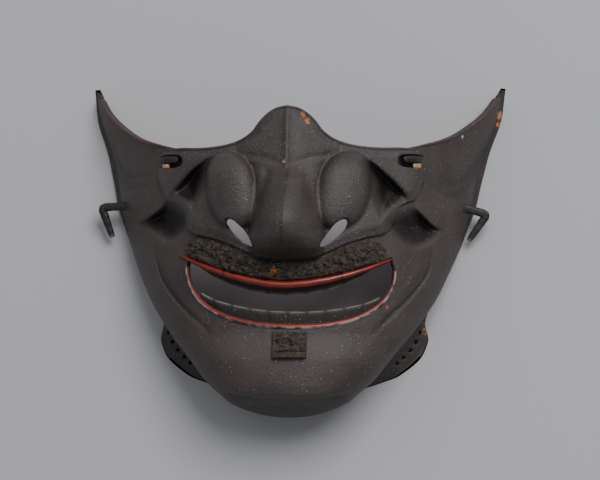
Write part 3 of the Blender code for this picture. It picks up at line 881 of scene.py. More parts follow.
def bar(name: str, path: np.ndarray, halves: np.ndarray, section: Section = Section.ROUND,
        sides: int = 16) -> bpy.types.Object:
    """Sweep a closed bar along a path.

    Args:
        name: Name of the piece.
        path: Points along it.
        halves: Half height and half depth at each.
        section: Its cross section.
        sides: Sides of each ring.

    Returns:
        The piece, with the vertex attribute "turn" from -1 to 1 across its height.
    """
    tangent = np.gradient(path, axis=0)
    tangent /= np.linalg.norm(tangent, axis=1, keepdims=True)
    side = np.cross(tangent, (0, 0, 1))
    side /= np.linalg.norm(side, axis=1, keepdims=True)
    up = np.cross(side, tangent)
    angles = 2 * math.pi * (np.arange(sides) + 0.5) / sides
    cos, sin = np.cos(angles), np.sin(angles)
    stretch = (np.abs(cos) ** section.value + np.abs(sin) ** section.value) ** (-1 / section.value)
    rings = (path[:, None] + side[:, None] * (cos * stretch)[None, :, None] * halves[:, None, :1]
             + up[:, None] * (sin * stretch)[None, :, None] * halves[:, None, 1:])
    count = len(path)
    index = np.arange(count * sides).reshape(count, sides)
    turned = np.roll(index, -1, axis=1)
    faces = np.stack([index[:-1], turned[:-1], turned[1:], index[1:]], axis=-1).reshape(-1, 4)
    mesh = bpy.data.meshes.new(name)
    caps = [index[0].tolist(), index[-1][::-1].tolist()]
    mesh.from_pydata(rings.reshape(-1, 3).tolist(), [], faces.tolist() + caps)
    attribute = mesh.attributes.new("turn", "FLOAT", "POINT")
    attribute.data.foreach_set("value", np.tile(cos, count).astype(np.float32))
    outward(mesh)
    return place(name, mesh)


# Finishes

def linear(code: str) -> tuple[float, float, float, float]:
    """Linear colour of an sRGB hex code.

    Args:
        code: Six hex digits.

    Returns:
        Red, green, blue and alpha.
    """
    parts = [int(code[i:i + 2], 16) / 255 for i in (0, 2, 4)]
    return (*(c / 12.92 if c <= 0.04045 else ((c + 0.055) / 1.055) ** 2.4 for c in parts), 1.0)


def add_node(tree: bpy.types.NodeTree, kind: str, settings: Optional[dict] = None,
             links: Optional[dict] = None) -> bpy.types.Node:
    """Add a node.

    Args:
        tree: Node tree.
        kind: Node type without its prefix.
        settings: Attributes, or input values by name or number.
        links: Output socket for each input, by name or number.

    Returns:
        The node.
    """
    made = tree.nodes.new(f"ShaderNode{kind}")
    for key, value in (settings or {}).items():
        if isinstance(key, str) and hasattr(made, key):
            setattr(made, key, value)
        else:
            made.inputs[key].default_value = value
    for key, socket in (links or {}).items():
        tree.links.new(socket, made.inputs[key])
    return made


def stops(made: bpy.types.Node, rows: Sequence[tuple[float, tuple]]) -> bpy.types.Node:
    """Set the stops of a colour ramp.

    Args:
        made: ColorRamp node.
        rows: Position and colour of each stop.

    Returns:
        The node.
    """
    ramp_of = made.color_ramp
    while len(ramp_of.elements) < len(rows):
        ramp_of.elements.new(0.5)
    for element, (position, colour) in zip(ramp_of.elements, rows):
        element.position = position
        element.color = colour
    return made


@dataclass(frozen=True)
class Chip:
    """Place where the lacquer has come off.

    Attributes:
        pixel: Where the photograph shows it.
        size: Radius.
        colour: What lies under it, sRGB hex.
        on_plate: Whether it is on the nose plate.
        sunk: How far below the face's edge it is, on the hem.
    """

    pixel: tuple[float, float]
    size: float
    colour: str
    on_plate: bool = False
    sunk: float = 0.0


CHIPS = (
    Chip((304.5, 115), 0.0018, "9a5a2c", True),
    Chip((309, 121), 0.0017, "a8682e", True),
    Chip((285.5, 162), 0.0010, "a08468", True),
    Chip((418, 152), 0.0009, "8a7a68", True),
    Chip((499, 116), 0.0023, "b06c34", sunk=0.0045),
    Chip((497, 125), 0.0017, "a8642e", sunk=0.0045),
    Chip((486, 112), 0.0010, "a86a34"),
    Chip((462, 137), 0.0010, "b09088"),
    Chip((387, 307), 0.0009, "a04a34"),
    Chip((386, 319), 0.0008, "a04a34"),
    Chip((427, 329), 0.0030, "8a6238", sunk=0.0190),
    Chip((427.5, 336), 0.0026, "7a5530", sunk=0.0190))


SPECK_SCALE = 1100.0        # dust specks' cells to the metre
SPECK_SIZE = 0.20           # radius of a speck, in cells
SHADE_AND_SOOT = "110b0a"            # painted shade in the hollows, creases, walls and under the chin, with soot
SHADE_AND_SOOT_SHARE = 0.88          # how much of it covers the lacquer
COAT_ROUGHNESS = 0.18
RIM_RED = "7c2c1c"          # lacquer under the black, where a rim is rubbed
RIM_PATCH = 120.0           # rubbed patches on a rim, to the metre
RIM_WEAR = (0.36, 0.46)     # turn of a rim where the red starts, and where it is full
# painted shade on the upper lip's lower half
LIP_UNDERSIDE_SHADE = "2c0f0b"
LIP_CRACK = "0d0806"
LIP_EDGE_SHADE = "14100e"      # painted shade: dark line where the lower lip meets the hide
# painted highlight on the lower lip's outer half, in patches of dark and pale grey
LIP_HIGHLIGHT = ((0.42, "332c2a"), (0.56, "8b8885"))
LIP_HIGHLIGHT_PATCH = 220.0           # patches of the painted highlight on the lower lip, to the metre
TOOTH_EDGE = "7d7a72"
BARE_IRON = "8a6a50"


@dataclass(frozen=True)
class Finish:
    """Surface of one kind of material.

    Attributes:
        name: Name of the material.
        base: Main colour, sRGB hex.
        other: Colour of its mottling.
        mottle: Size of the mottling in metres.
        roughness: Lowest and highest roughness.
        grain: Size of its fine grain in metres.
        bump: Height of the grain in metres.
        coat: Weight of a clear coat.
        metallic: Metallic value.
        specks: Share of pale dust specks.
        speck: Colour of the specks.
        shaded_and_sooty: Whether the mesh's "shade_and_soot" attribute darkens it with painted
            shade and soot.
        sheen: Specular level.
    """

    name: str
    base: str
    other: str
    mottle: float
    roughness: tuple[float, float]
    grain: float
    bump: float
    coat: float = 0.0
    metallic: float = 0.0
    specks: float = 0.0
    speck: str = "a8a090"
    shaded_and_sooty: bool = False
    sheen: float = 0.5

    def build(self, chips: Sequence[Chip] = (),
              extra: Optional[Callable] = None) -> bpy.types.Material:
        """Make the material.

        Args:
            chips: Places where the finish is gone.
            extra: Adds to the colour: takes the tree, the object coordinates and the
                colour socket, and returns the new colour socket.

        Returns:
            The material.
        """
        made = bpy.data.materials.new(self.name)
        made.use_nodes = True
        tree = made.node_tree
        shader = tree.nodes["Principled BSDF"]
        shader.inputs["Metallic"].default_value = self.metallic
        shader.inputs["Coat Weight"].default_value = self.coat
        shader.inputs["Specular IOR Level"].default_value = self.sheen
        shader.inputs["Coat Roughness"].default_value = COAT_ROUGHNESS
        at = add_node(tree, "TexCoord").outputs["Object"]
        cloud = add_node(tree, "TexNoise", {"Scale": 1 / self.mottle, "Detail": 5.0,
                                            "Roughness": 0.62}, {"Vector": at})
        tone = stops(add_node(tree, "ValToRGB", None, {"Fac": cloud.outputs["Fac"]}),
                     ((0.36, linear(self.base)), (0.66, linear(self.other))))
        colour = tone.outputs["Color"]
        fine = add_node(tree, "TexNoise", {"Scale": 1 / self.grain, "Detail": 6.0,
                                           "Roughness": 0.7}, {"Vector": at})
        rough = add_node(tree, "MapRange", {"From Min": 0.3, "From Max": 0.7,
                                            "To Min": self.roughness[0],
                                            "To Max": self.roughness[1]},
                         {"Value": cloud.outputs["Fac"]})
        # Painted shade with soot, laid on by the mesh's attribute.
        if self.shaded_and_sooty:
            mask = add_node(tree, "Attribute", {"attribute_name": "shade_and_soot"})
            tinted = add_node(tree, "Math", {"operation": "MULTIPLY", 1: SHADE_AND_SOOT_SHARE},
                            {0: mask.outputs["Fac"]})
            colour = add_node(tree, "Mix", {"data_type": "RGBA", 7: linear(SHADE_AND_SOOT)},
                              {0: tinted.outputs[0], 6: colour}).outputs[2]
        if self.specks:
            cells = add_node(tree, "TexVoronoi", {"Scale": SPECK_SCALE}, {"Vector": at})
            near = add_node(tree, "Math", {"operation": "LESS_THAN", 1: SPECK_SIZE},
                            {0: cells.outputs["Distance"]})
            split = add_node(tree, "SeparateColor", None, {"Color": cells.outputs["Color"]})
            rare = add_node(tree, "Math", {"operation": "LESS_THAN", 1: self.specks},
                            {0: split.outputs["Red"]})
            dust = add_node(tree, "Math", {"operation": "MULTIPLY"},
                            {0: near.outputs[0], 1: rare.outputs[0]})
            faint = add_node(tree, "Math", {"operation": "MULTIPLY"},
                             {0: dust.outputs[0], 1: split.outputs["Green"]})
            colour = add_node(tree, "Mix", {"data_type": "RGBA", 7: linear(self.speck)},
                              {0: faint.outputs[0], 6: colour}).outputs[2]
        if extra:
            colour = extra(tree, at, colour)
        for chip in chips:
            colour = chip_colour(tree, at, colour, chip)
        tree.links.new(colour, shader.inputs["Base Color"])
        tree.links.new(rough.outputs["Result"], shader.inputs["Roughness"])
        raised = add_node(tree, "Bump", {"Strength": 1.0, "Distance": self.bump},
                          {"Height": fine.outputs["Fac"]})
        tree.links.new(raised.outputs["Normal"], shader.inputs["Normal"])
        return made


def chip_colour(tree: bpy.types.NodeTree, at: bpy.types.NodeSocket,
                colour: bpy.types.NodeSocket, chip: Chip) -> bpy.types.NodeSocket:
    """Lay a ragged patch over a colour.

    Args:
        tree: Node tree.
        at: Coordinates of the surface.
        colour: Colour so far.
        chip: The patch.

    Returns:
        The new colour.
    """
    x, y = PHOTO.onto(lambda px, py: FORM.smooth_skin(px, py) - chip.sunk, [chip.pixel])[0]
    z = float(FORM.smooth_skin(np.array(x), np.array(y))) - chip.sunk
    if chip.on_plate:
        z += float(FORM.nose(np.array(x), np.array(y))) + FORM.wall + FORM.lap_gap
    centre = FORM.rest @ Vector((x, y, z))
    wobble = add_node(tree, "TexNoise", {"Scale": 1.3 / chip.size, "Detail": 3.0},
                      {"Vector": at})
    away = add_node(tree, "VectorMath", {"operation": "DISTANCE", 1: tuple(centre)}, {0: at})
    share = add_node(tree, "Math", {"operation": "DIVIDE", 1: chip.size * 2.2},
                     {0: away.outputs["Value"]})
    ragged = add_node(tree, "Math", {"operation": "ADD"},
                      {0: share.outputs[0], 1: wobble.outputs["Fac"]})
    mask = add_node(tree, "MapRange", {"From Min": 0.92, "From Max": 0.80},
                    {"Value": ragged.outputs[0]})
    return add_node(tree, "Mix", {"data_type": "RGBA", 7: linear(chip.colour)},
                    {0: mask.outputs["Result"], 6: colour}).outputs[2]


# Rawhide under many coats of smoke-darkened russet lacquer: dull, with soft cloudy wear
RUSSET = Finish("smoked_lacquer_on_rawhide", "302826", "3e3532", 0.016, (0.44, 0.58), 0.0012,
                0.00045, coat=0.02, specks=0.16, shaded_and_sooty=True)
# The same lacquer over the nose, rubbed finer so that it shines a little more
NOSE_LACQUER = Finish("smoked_lacquer_on_nose", "322b29", "403937", 0.014, (0.32, 0.44),
                      0.0012, 0.00055, coat=0.02, specks=0.16, shaded_and_sooty=True)
# Cinnabar lacquer of the lips: deep red, glossy on top; the lips lay painted shade and a painted
# highlight over it
CINNABAR = Finish("cinnabar_lacquer", "6c140b", "861f12", 0.006, (0.28, 0.45), 0.0012,
                  0.00010, coat=0.20)
# Cinnabar lacquer inside the mask, less polished
INNER_RED = Finish("inner_cinnabar_lacquer", "6a1c12", "7a2618", 0.020, (0.34, 0.5), 0.0010,
                   0.00005, coat=0.1)
# Teeth of hide with blackened lacquer: low sheen, pale only on the rubbed edges
TOOTH = Finish("blackened_tooth_lacquer", "1b1a16", "2a2924", 0.005, (0.62, 0.80), 0.0008,
               0.00025, specks=0.3, sheen=0.3)
# Old glue and hair stubs: dry, olive brown and black, takes no shine
CRUST = Finish("hair_and_glue_crust", "0b0806", "4d4236", 0.0022, (0.70, 0.95), 0.0005,
               0.00050, specks=0.34, speck="9a8a70")
# Forged iron under black lacquer: scaly and half rubbed off
IRON = Finish("blackened_forged_iron", "232222", "3b3937", 0.004, (0.38, 0.62), 0.0009,
              0.00012, metallic=0.55)
# Split softwood of the wedges: straw coloured and dry
WOOD = Finish("split_pine", "96764e", "b89a72", 0.0020, (0.65, 0.85), 0.0006, 0.0001)
# Seamless paper of the studio floor
PAPER = Finish("studio_paper", "a6a6a9", "a8a8ab", 0.3, (0.8, 0.9), 0.002, 0.00001)


def dress(piece: bpy.types.Object, slot: str, nodes: Sequence[str],
          *materials: bpy.types.Material) -> bpy.types.Object:
    """Give a piece its materials, fix it to the body and hide the CAD nodes that it replaces.

    Args:
        piece: The piece.
        slot: Not used.
        nodes: CAD nodes that it replaces.
        materials: Its materials in order.

    Returns:
        The piece.
    """
    for material in materials:
        piece.data.materials.append(material)
    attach(piece, BODY)
    if nodes:
        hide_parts(*nodes)
    LOG.info("built %s with %d faces", piece.name, len(piece.data.polygons))
    return piece


@dataclass(frozen=True)
class Shell:
    """Cheeks, jaw, chin and hem in one formed hide.

    Attributes:
        columns: Columns around the outline.
        face_rows: Rows from the rim to the outline.
        wall_rows: Rows from the outline to the throat line.
        hem_rows: Rows from there to the hem.
        crowd: Power that crowds the face's rows towards the outline.
        hem_curl: Power of the hem's curve.
        tip_from: Share of the height where the hem starts to rise to its point.
        tip_run: Share of the height in which it rises.
        edge_length: Outline from chin to cheek tip, in half widths.
        lace_hole: Diameter of a lacing hole.
        lace_pitch: Distance between two.
        lace_holes: Holes on each side.
        lace_start: Share of the height where the row starts.
        lace_row: Row of the holes, between throat line and hem.
        lap: Width over which the hide sinks under the nose plate.
        lap_sink: How far it sinks there.
        ripple: Size and height of the hide's uneven places.
        rim_half: Half thickness of the rolled rim.
        rim_from: Share of the half width where the rim starts, and where it ends.
        rim_sunk: How far it is set down and in.
    """

    columns: int = 330
    face_rows: int = 118
    wall_rows: int = 10
    hem_rows: int = 12
    crowd: float = 1.5
    hem_curl: float = 1.2
    tip_from: float = 0.93
    tip_run: float = 0.07
    edge_length: float = 1.9
    lace_hole: float = 0.0022
    lace_pitch: float = 0.0048
    lace_holes: int = 5
    lace_start: float = 0.262
    lace_row: float = 2.6
    lap: float = 0.0030
    lap_sink: float = 0.0014
    ripple: tuple[float, float] = (0.03, 0.00022)
    rim_half: float = 0.0007
    rim_from: tuple[float, float] = (0.575, 0.9495)
    rim_sunk: tuple[float, float] = (0.0003, 0.0002)

    def flat(self, u: np.ndarray, v: np.ndarray) -> tuple[np.ndarray, np.ndarray]:
        """X and Y of the face's points.

        Args:
            u: From -1 at one cheek tip to 1 at the other.
            v: 0 at the top rim, 1 at the outline.

        Returns:
            Across and up the face.
        """
        edge_x, edge_y = self.edge(u)
        rim_x = FORM.half_width * RIM[-1][0] * u
        rim_y = FORM.height / 2 * through(np.abs(u) * RIM[-1][0], RIM[:, 0], RIM[:, 1])
        face = 1 - (1 - np.clip(v, 0, 1)) ** self.crowd
        return rim_x + (edge_x - rim_x) * face, rim_y + (edge_y - rim_y) * face

    def edge(self, u: np.ndarray) -> tuple[np.ndarray, np.ndarray]:
        """Outline of the face.

        Args:
            u: From -1 at one cheek tip to 1 at the other.

        Returns:
            X and Y.
        """
        share = np.abs(u) ** FORM.pitch
        return (np.sign(u) * FORM.half(share),
                -FORM.height / 2 + (FORM.height - FORM.tip_rise) * share)

    def points(self, u: np.ndarray, v: np.ndarray, x: np.ndarray, y: np.ndarray,
               height_at: Callable = FORM.skin) -> np.ndarray:
        """Points of the outer face.

        Args:
            u: From -1 at one cheek tip to 1 at the other.
            v: 0 at the top rim, 1 at the outline, 2 at the throat line, 3 at the hem.
            x: Across the face, as flat gives it.
            y: Up the face, as flat gives it.
            height_at: Gives the face's Z over X and Y.

        Returns:
            Points in the face's frame.
        """
        share = np.abs(u) ** FORM.pitch
        step = 0.002
        ahead_x, ahead_y = self.edge(np.clip(u + step, -1, 1))
        behind_x, behind_y = self.edge(np.clip(u - step, -1, 1))
        run = np.hypot(ahead_x - behind_x, ahead_y - behind_y)
        out_x, out_y = (ahead_y - behind_y) / run, -(ahead_x - behind_x) / run
        z = height_at(x, y)
        inset, throat, flare, edge = (through(share, WALLS[:, 0], WALLS[:, i])
                                      for i in range(1, 5))
        wall, hem = np.clip(v - 1, 0, 1), np.clip(v - 2, 0, 1)
        out = FORM.half_width * (flare * hem ** self.hem_curl - inset * ramp(wall))
        rise = FORM.tip_rise * hem * ramp((share - self.tip_from) / self.tip_run)
        x, y = x + out_x * out, y + out_y * out + rise
        floor = (FORM.height / 2 - y) * math.tan(FORM.tilt)
        z = np.where(v > 1, z + (floor + FORM.depth * throat - z) * wall, z)
        z = np.where(v > 2, floor + FORM.depth * (throat + (edge - throat) * hem), z)
        return np.stack([x, y, z], axis=-1)

    def lace(self, outer: np.ndarray, keep: np.ndarray) -> None:
        """Open the lacing holes in the hem.

        Args:
            outer: Grid of points, changed in place.
            keep: Which cells stay, changed in place.
        """
        start = self.lace_start ** (1 / FORM.pitch)
        for side in Side:
            for i in range(self.lace_holes):
                along = i * self.lace_pitch / (FORM.half_width * self.edge_length)
                u = np.array(side.value * (start - along))
                row = np.array(self.lace_row)
                centre = self.points(u, row, *self.flat(u, row))
                middles = cell_middles(outer)
                near = np.linalg.norm(middles - centre, axis=-1) < self.lace_hole / 2
                near[:self.face_rows + self.wall_rows] = False
                edge = seam(~near)
                away = outer[edge] - centre
                away *= self.lace_hole / 2 / np.linalg.norm(away, axis=-1, keepdims=True)
                outer[edge] = centre + away
                keep &= ~near

    def build(self) -> None:
        """Make the hide and its rolled rim."""
        rows = np.concatenate([np.linspace(0, 1, self.face_rows + 1),
                               np.linspace(1, 2, self.wall_rows + 1)[1:],
                               np.linspace(2, 3, self.hem_rows + 1)[1:]])
        v, u = np.meshgrid(rows, np.linspace(-1, 1, self.columns + 1), indexing="ij")
        x, y = self.flat(u, v)
        face = cell_middles(v[..., None])[..., 0] < 1
        lower = [tuple(map(float, MOUTH.bottom(turn))) for turn in np.linspace(0, math.pi, 81)]
        span = np.linspace(-MOUTH.half_width, MOUTH.half_width, 61) + MOUTH.shift
        upper = [(float(px), float(MOUTH.top(px))) for px in span]
        keep = trim(x, y, lower + upper[1:-1], face)
        under_nose = both_sides(spline(FORM.scaled(APERTURE), 4)[::-1])
        keep &= trim(x, y, under_nose, face)
        raw = self.points(u, v, x, y)
        outer = raw.copy()
        self.lace(outer, keep)
        plain = self.points(u, v, x, y, FORM.smooth_skin)
        across = normals(plain)
        lap = NosePlate().border
        covered = inside(lap, x, y) * ramp(distance(lap, x, y) / self.lap) * (v < 1)
        sunk = across * (self.lap_sink * covered)[..., None]
        inner = plain - across * FORM.wall
        inner[..., 2] += np.where(v <= 1, FORM.relief(inner[..., 0], inner[..., 1]), 0.0)
        inner += outer - raw
        coarse = roughly(outer[::4, ::4], self.ripple[0], 2)
        ripple = np.kron(coarse, np.ones((4, 4)))[:outer.shape[0], :outer.shape[1]]
        ripple = blurred(ripple, 4) * self.ripple[1]
        # Painted shade with soot from the face's hollows, creases and chin, and painted shade
        # growing down the walls to the hem.
        shell = slab("hide_shell", outer - sunk + across * ripple[..., None], inner - sunk, keep,
                     {"shade_and_soot": np.where(v > 1, 0.35 * ramp(v - 1), FORM.shade_and_soot(x, y))})
        dress(shell, "russet_lacquer", ("face_shell",),
              RUSSET.build([chip for chip in CHIPS if not chip.on_plate]), INNER_RED.build())
        for side in Side:
            self.rim(side)

    def rim(self, side: Side) -> None:
        """Roll the top rim of one cheek.

        Args:
            side: Which cheek.
        """
        x = np.linspace(*self.rim_from, 90) * FORM.half_width
        y = FORM.height / 2 * through(x / FORM.half_width, RIM[:, 0], RIM[:, 1])
        y -= self.rim_sunk[0]
        x = x * side.value
        z = FORM.skin(x, y) - self.rim_sunk[1]
        swell = self.rim_half * (0.45 + 0.55 * ramp(np.linspace(0, 8, 90)))
        path = np.stack([x, y, z], axis=-1)[::side.value]
        halves = np.stack([swell, swell], axis=-1)[::side.value]
        name = f"rolled_rim_{side.name.lower()}"
        dress(bar(name, path, halves), "russet_lacquer", (), RUSSET.build(extra=red_line))


def blurred(values: np.ndarray, passes: int) -> np.ndarray:
    """Smooth an array.

    Args:
        values: Rows and columns.
        passes: How often neighbours are averaged.

    Returns:
        The smoothed array.
    """
    for _ in range(passes):
        padded = np.pad(values, 2, mode="edge")
        rows, columns = values.shape
        values = sum(padded[i:i + rows, j:j + columns] for i in range(5) for j in range(5)) / 25
    return values


def red_line(tree: bpy.types.NodeTree, at: bpy.types.NodeSocket,
             colour: bpy.types.NodeSocket) -> bpy.types.NodeSocket:
    """Let the inner red show along the outer edge of a rolled rim.

    Args:
        tree: Node tree.
        at: Coordinates of the surface.
        colour: Colour so far.

    Returns:
        The new colour.
    """
    turn = add_node(tree, "Attribute", {"attribute_name": "turn"})
    size = add_node(tree, "Math", {"operation": "ABSOLUTE"}, {0: turn.outputs["Fac"]})
    patches = add_node(tree, "TexNoise", {"Scale": RIM_PATCH, "Detail": 3.0}, {"Vector": at})
    edge = add_node(tree, "Math", {"operation": "MULTIPLY"},
                    {0: size.outputs[0], 1: patches.outputs["Fac"]})
    mask = add_node(tree, "MapRange", {"From Min": RIM_WEAR[0], "From Max": RIM_WEAR[1]},
                    {"Value": edge.outputs[0]})
    return add_node(tree, "Mix", {"data_type": "RGBA", 7: linear(RIM_RED)},
                    {0: mask.outputs["Result"], 6: colour}).outputs[2]


@dataclass(frozen=True)
class NosePlate:
    """Nose with its two side straps.

    Attributes:
        cell: Size of a mesh cell.
        wall: Thickness.
        skive: Width over which the edge is pared down.
        slot_x: Slot's distance from the centre.
        slot_y: Its height on the face.
        slot_length: Its length.
        slot_width: Its width.
        slot_round: Power of its rounded ends.
        nostril_x: Nostril's distance from the centre.
        nostril_y: Its height on the face.
        nostril_length: Length of a nostril.
        nostril_width: Its width.
        nostril_almond: How much wider one end is.
        nostril_lean: Its slope.
        grid: Half width, top and foot of the grid that it is trimmed from.
        ridge_slope: How the line on the ridge leans.
        ridge_foot: Y where that line crosses the middle.
        ridge_line: Its darkness and its width.
        ridge_end: Y of its upper end, and the length over which it fades.
        tip_shade: Painted shade under the nose's tip.
        tip_top: Y where that darkness ends, and the length over which it fades.
        tip_side: The same across the face.
        rim_halves: Half height and half depth of the rolled rim.
        rim_drop: How far the rim lies below the plate's edge.
    """

    cell: float = 0.00065
    wall: float = 0.0024
    skive: float = 0.0045
    slot_x: float = 0.0540
    slot_y: float = 0.0392
    slot_length: float = 0.0134
    slot_width: float = 0.0064
    slot_round: int = 3
    nostril_x: float = 0.0205
    nostril_y: float = 0.0062
    nostril_length: float = 0.0170
    nostril_width: float = 0.0046
    nostril_almond: float = 0.25
    nostril_lean: float = math.radians(47)
    grid: tuple[float, float, float] = (0.0615, 0.0645, -0.0070)
    ridge_slope: float = 0.0560
    ridge_foot: float = 0.0226
    ridge_line: tuple[float, float] = (0.9, 0.00055)
    ridge_end: tuple[float, float] = (0.036, 0.004)
    tip_shade: float = 0.6
    tip_top: tuple[float, float] = (0.0060, 0.007)
    tip_side: tuple[float, float] = (0.016, 0.004)
    rim_halves: tuple[float, float] = (0.0007, 0.0006)
    rim_drop: float = 0.0004

    @property
    def outline(self) -> list[tuple[float, float]]:
        """Right half of the plate's outline, from its top to its foot."""
        parts = [spline(FORM.scaled(table), 5) for table in (PLATE_RIM, PLATE_END, PLATE_FOOT)]
        return parts[0][:-1] + parts[1][:-1] + parts[2]

    @property
    def border(self) -> list[tuple[float, float]]:
        """The plate's whole outline."""
        return self.outline + [(-x, y) for x, y in reversed(self.outline)]

    def surface(self, x: np.ndarray, y: np.ndarray, lift: np.ndarray) -> np.ndarray:
        """Points above the skin and nose.

        Args:
            x: Across the face.
            y: Up the face.
            lift: Distance along the skin's normal.

        Returns:
            Points in the face's frame.
        """
        step = 0.0005
        slope_x = (FORM.smooth_skin(x + step, y) - FORM.smooth_skin(x - step, y)) / (2 * step)
        slope_y = (FORM.smooth_skin(x, y + step) - FORM.smooth_skin(x, y - step)) / (2 * step)
        normal = np.stack([-slope_x, -slope_y, np.ones_like(slope_x)], axis=-1)
        normal /= np.linalg.norm(normal, axis=-1, keepdims=True)
        result = np.stack([x, y, FORM.smooth_skin(x, y)], axis=-1) + normal * lift[..., None]
        x, y = result[..., 0], result[..., 1]
        result[..., 2] += FORM.relief(x, y) + FORM.nose(x, y)
        return result

    def shade_and_soot(self, x: np.ndarray, y: np.ndarray) -> np.ndarray:
        """Where the nose's lacquer is dark: painted shade with soot as on the face, a dark line on
        the ridge and painted shade under the tip.

        Args:
            x: Across the face.
            y: Up the face.

        Returns:
            Shares from 0 to 1.
        """
        line = x - self.ridge_slope * (y - self.ridge_foot)
        end, fade = self.ridge_end
        ridge = cut(line, self.ridge_line) * ramp((end - y) / fade)
        # Painted shade under the nose's tip.
        top, top_fade = self.tip_top
        side, side_fade = self.tip_side
        tip = self.tip_shade * ramp((top - y) / top_fade) * ramp((side - np.abs(x)) / side_fade)
        return np.maximum(np.maximum(FORM.shade_and_soot(x, y), ridge), tip)

    def nostril(self, side: Side) -> Points:
        """Slanting almond between nose tip and wing.

        Args:
            side: Which nostril.

        Returns:
            Its outline.
        """
        turn = np.linspace(0, 2 * math.pi, 40, endpoint=False)
        along = self.nostril_length / 2 * np.cos(turn)
        almond = 1 - self.nostril_almond * np.cos(turn)
        thick = self.nostril_width / 2 * np.sin(turn) * almond
        lean_cos, lean_sin = math.cos(self.nostril_lean), math.sin(self.nostril_lean)
        x = self.nostril_x - along * lean_cos + thick * lean_sin
        y = self.nostril_y - along * lean_sin - thick * lean_cos
        return list(zip((side.value * x).tolist(), y.tolist()))

    def slot(self, side: Side) -> Points:
        """Slot that the shell's lug comes through.

        Args:
            side: Which strap.

        Returns:
            Its outline.
        """
        turn = np.linspace(0, 2 * math.pi, 32, endpoint=False)
        cos, sin = np.cos(turn), np.sin(turn)
        power = self.slot_round
        round_off = (np.abs(cos) ** power + np.abs(sin) ** power) ** (-1 / power)
        x = side.value * self.slot_x + cos * round_off * self.slot_length / 2
        y = self.slot_y + sin * round_off * self.slot_width / 2
        return list(zip(x.tolist(), y.tolist()))

    def build(self) -> None:
        """Make the plate and its rolled rim."""
        half, top, foot = self.grid
        across = np.linspace(-half, half, int(2 * half / self.cell))
        down = np.linspace(top, foot, int((top - foot) / self.cell))
        y, x = np.meshgrid(down, across, indexing="ij")
        everywhere = np.ones((len(down) - 1, len(across) - 1), dtype=bool)
        keep = trim(x, y, both_sides(self.outline), everywhere, holds=True)
        for side in Side:
            keep &= trim(x, y, self.nostril(side), everywhere)
            keep &= trim(x, y, self.slot(side), everywhere)
        thin = 0.38 + 0.62 * ramp(distance(self.border, x, y) / self.skive)
        outer = self.surface(x, y, FORM.lap_gap + self.wall * thin)
        inner = self.surface(x, y, np.full(x.shape, FORM.lap_gap * 0.5))
        # Painted shade with soot, a dark line on the ridge and painted shade under the tip.
        plate = slab("nose_hide", outer, inner, keep, {"shade_and_soot": self.shade_and_soot(x, y)})
        dress(plate, "russet_lacquer", ("nose_plate",),
              NOSE_LACQUER.build([chip for chip in CHIPS if chip.on_plate]), INNER_RED.build())
        right = np.array(spline(FORM.scaled(PLATE_RIM), 8))
        rim = np.concatenate([right[:0:-1] * (-1, 1), right])
        rim[:, 1] -= self.rim_drop
        path = self.surface(rim[:, 0], rim[:, 1],
                            np.full(len(rim), FORM.lap_gap + self.wall * 0.35))
        ends = np.minimum(np.arange(len(rim)), np.arange(len(rim))[::-1])
        swell = 0.5 + 0.5 * ramp(ends / 12)
        halves = swell[:, None] * self.rim_halves
        dress(bar("rolled_rim_nose", path, halves), "russet_lacquer", (),
              NOSE_LACQUER.build([chip for chip in CHIPS if chip.on_plate]))


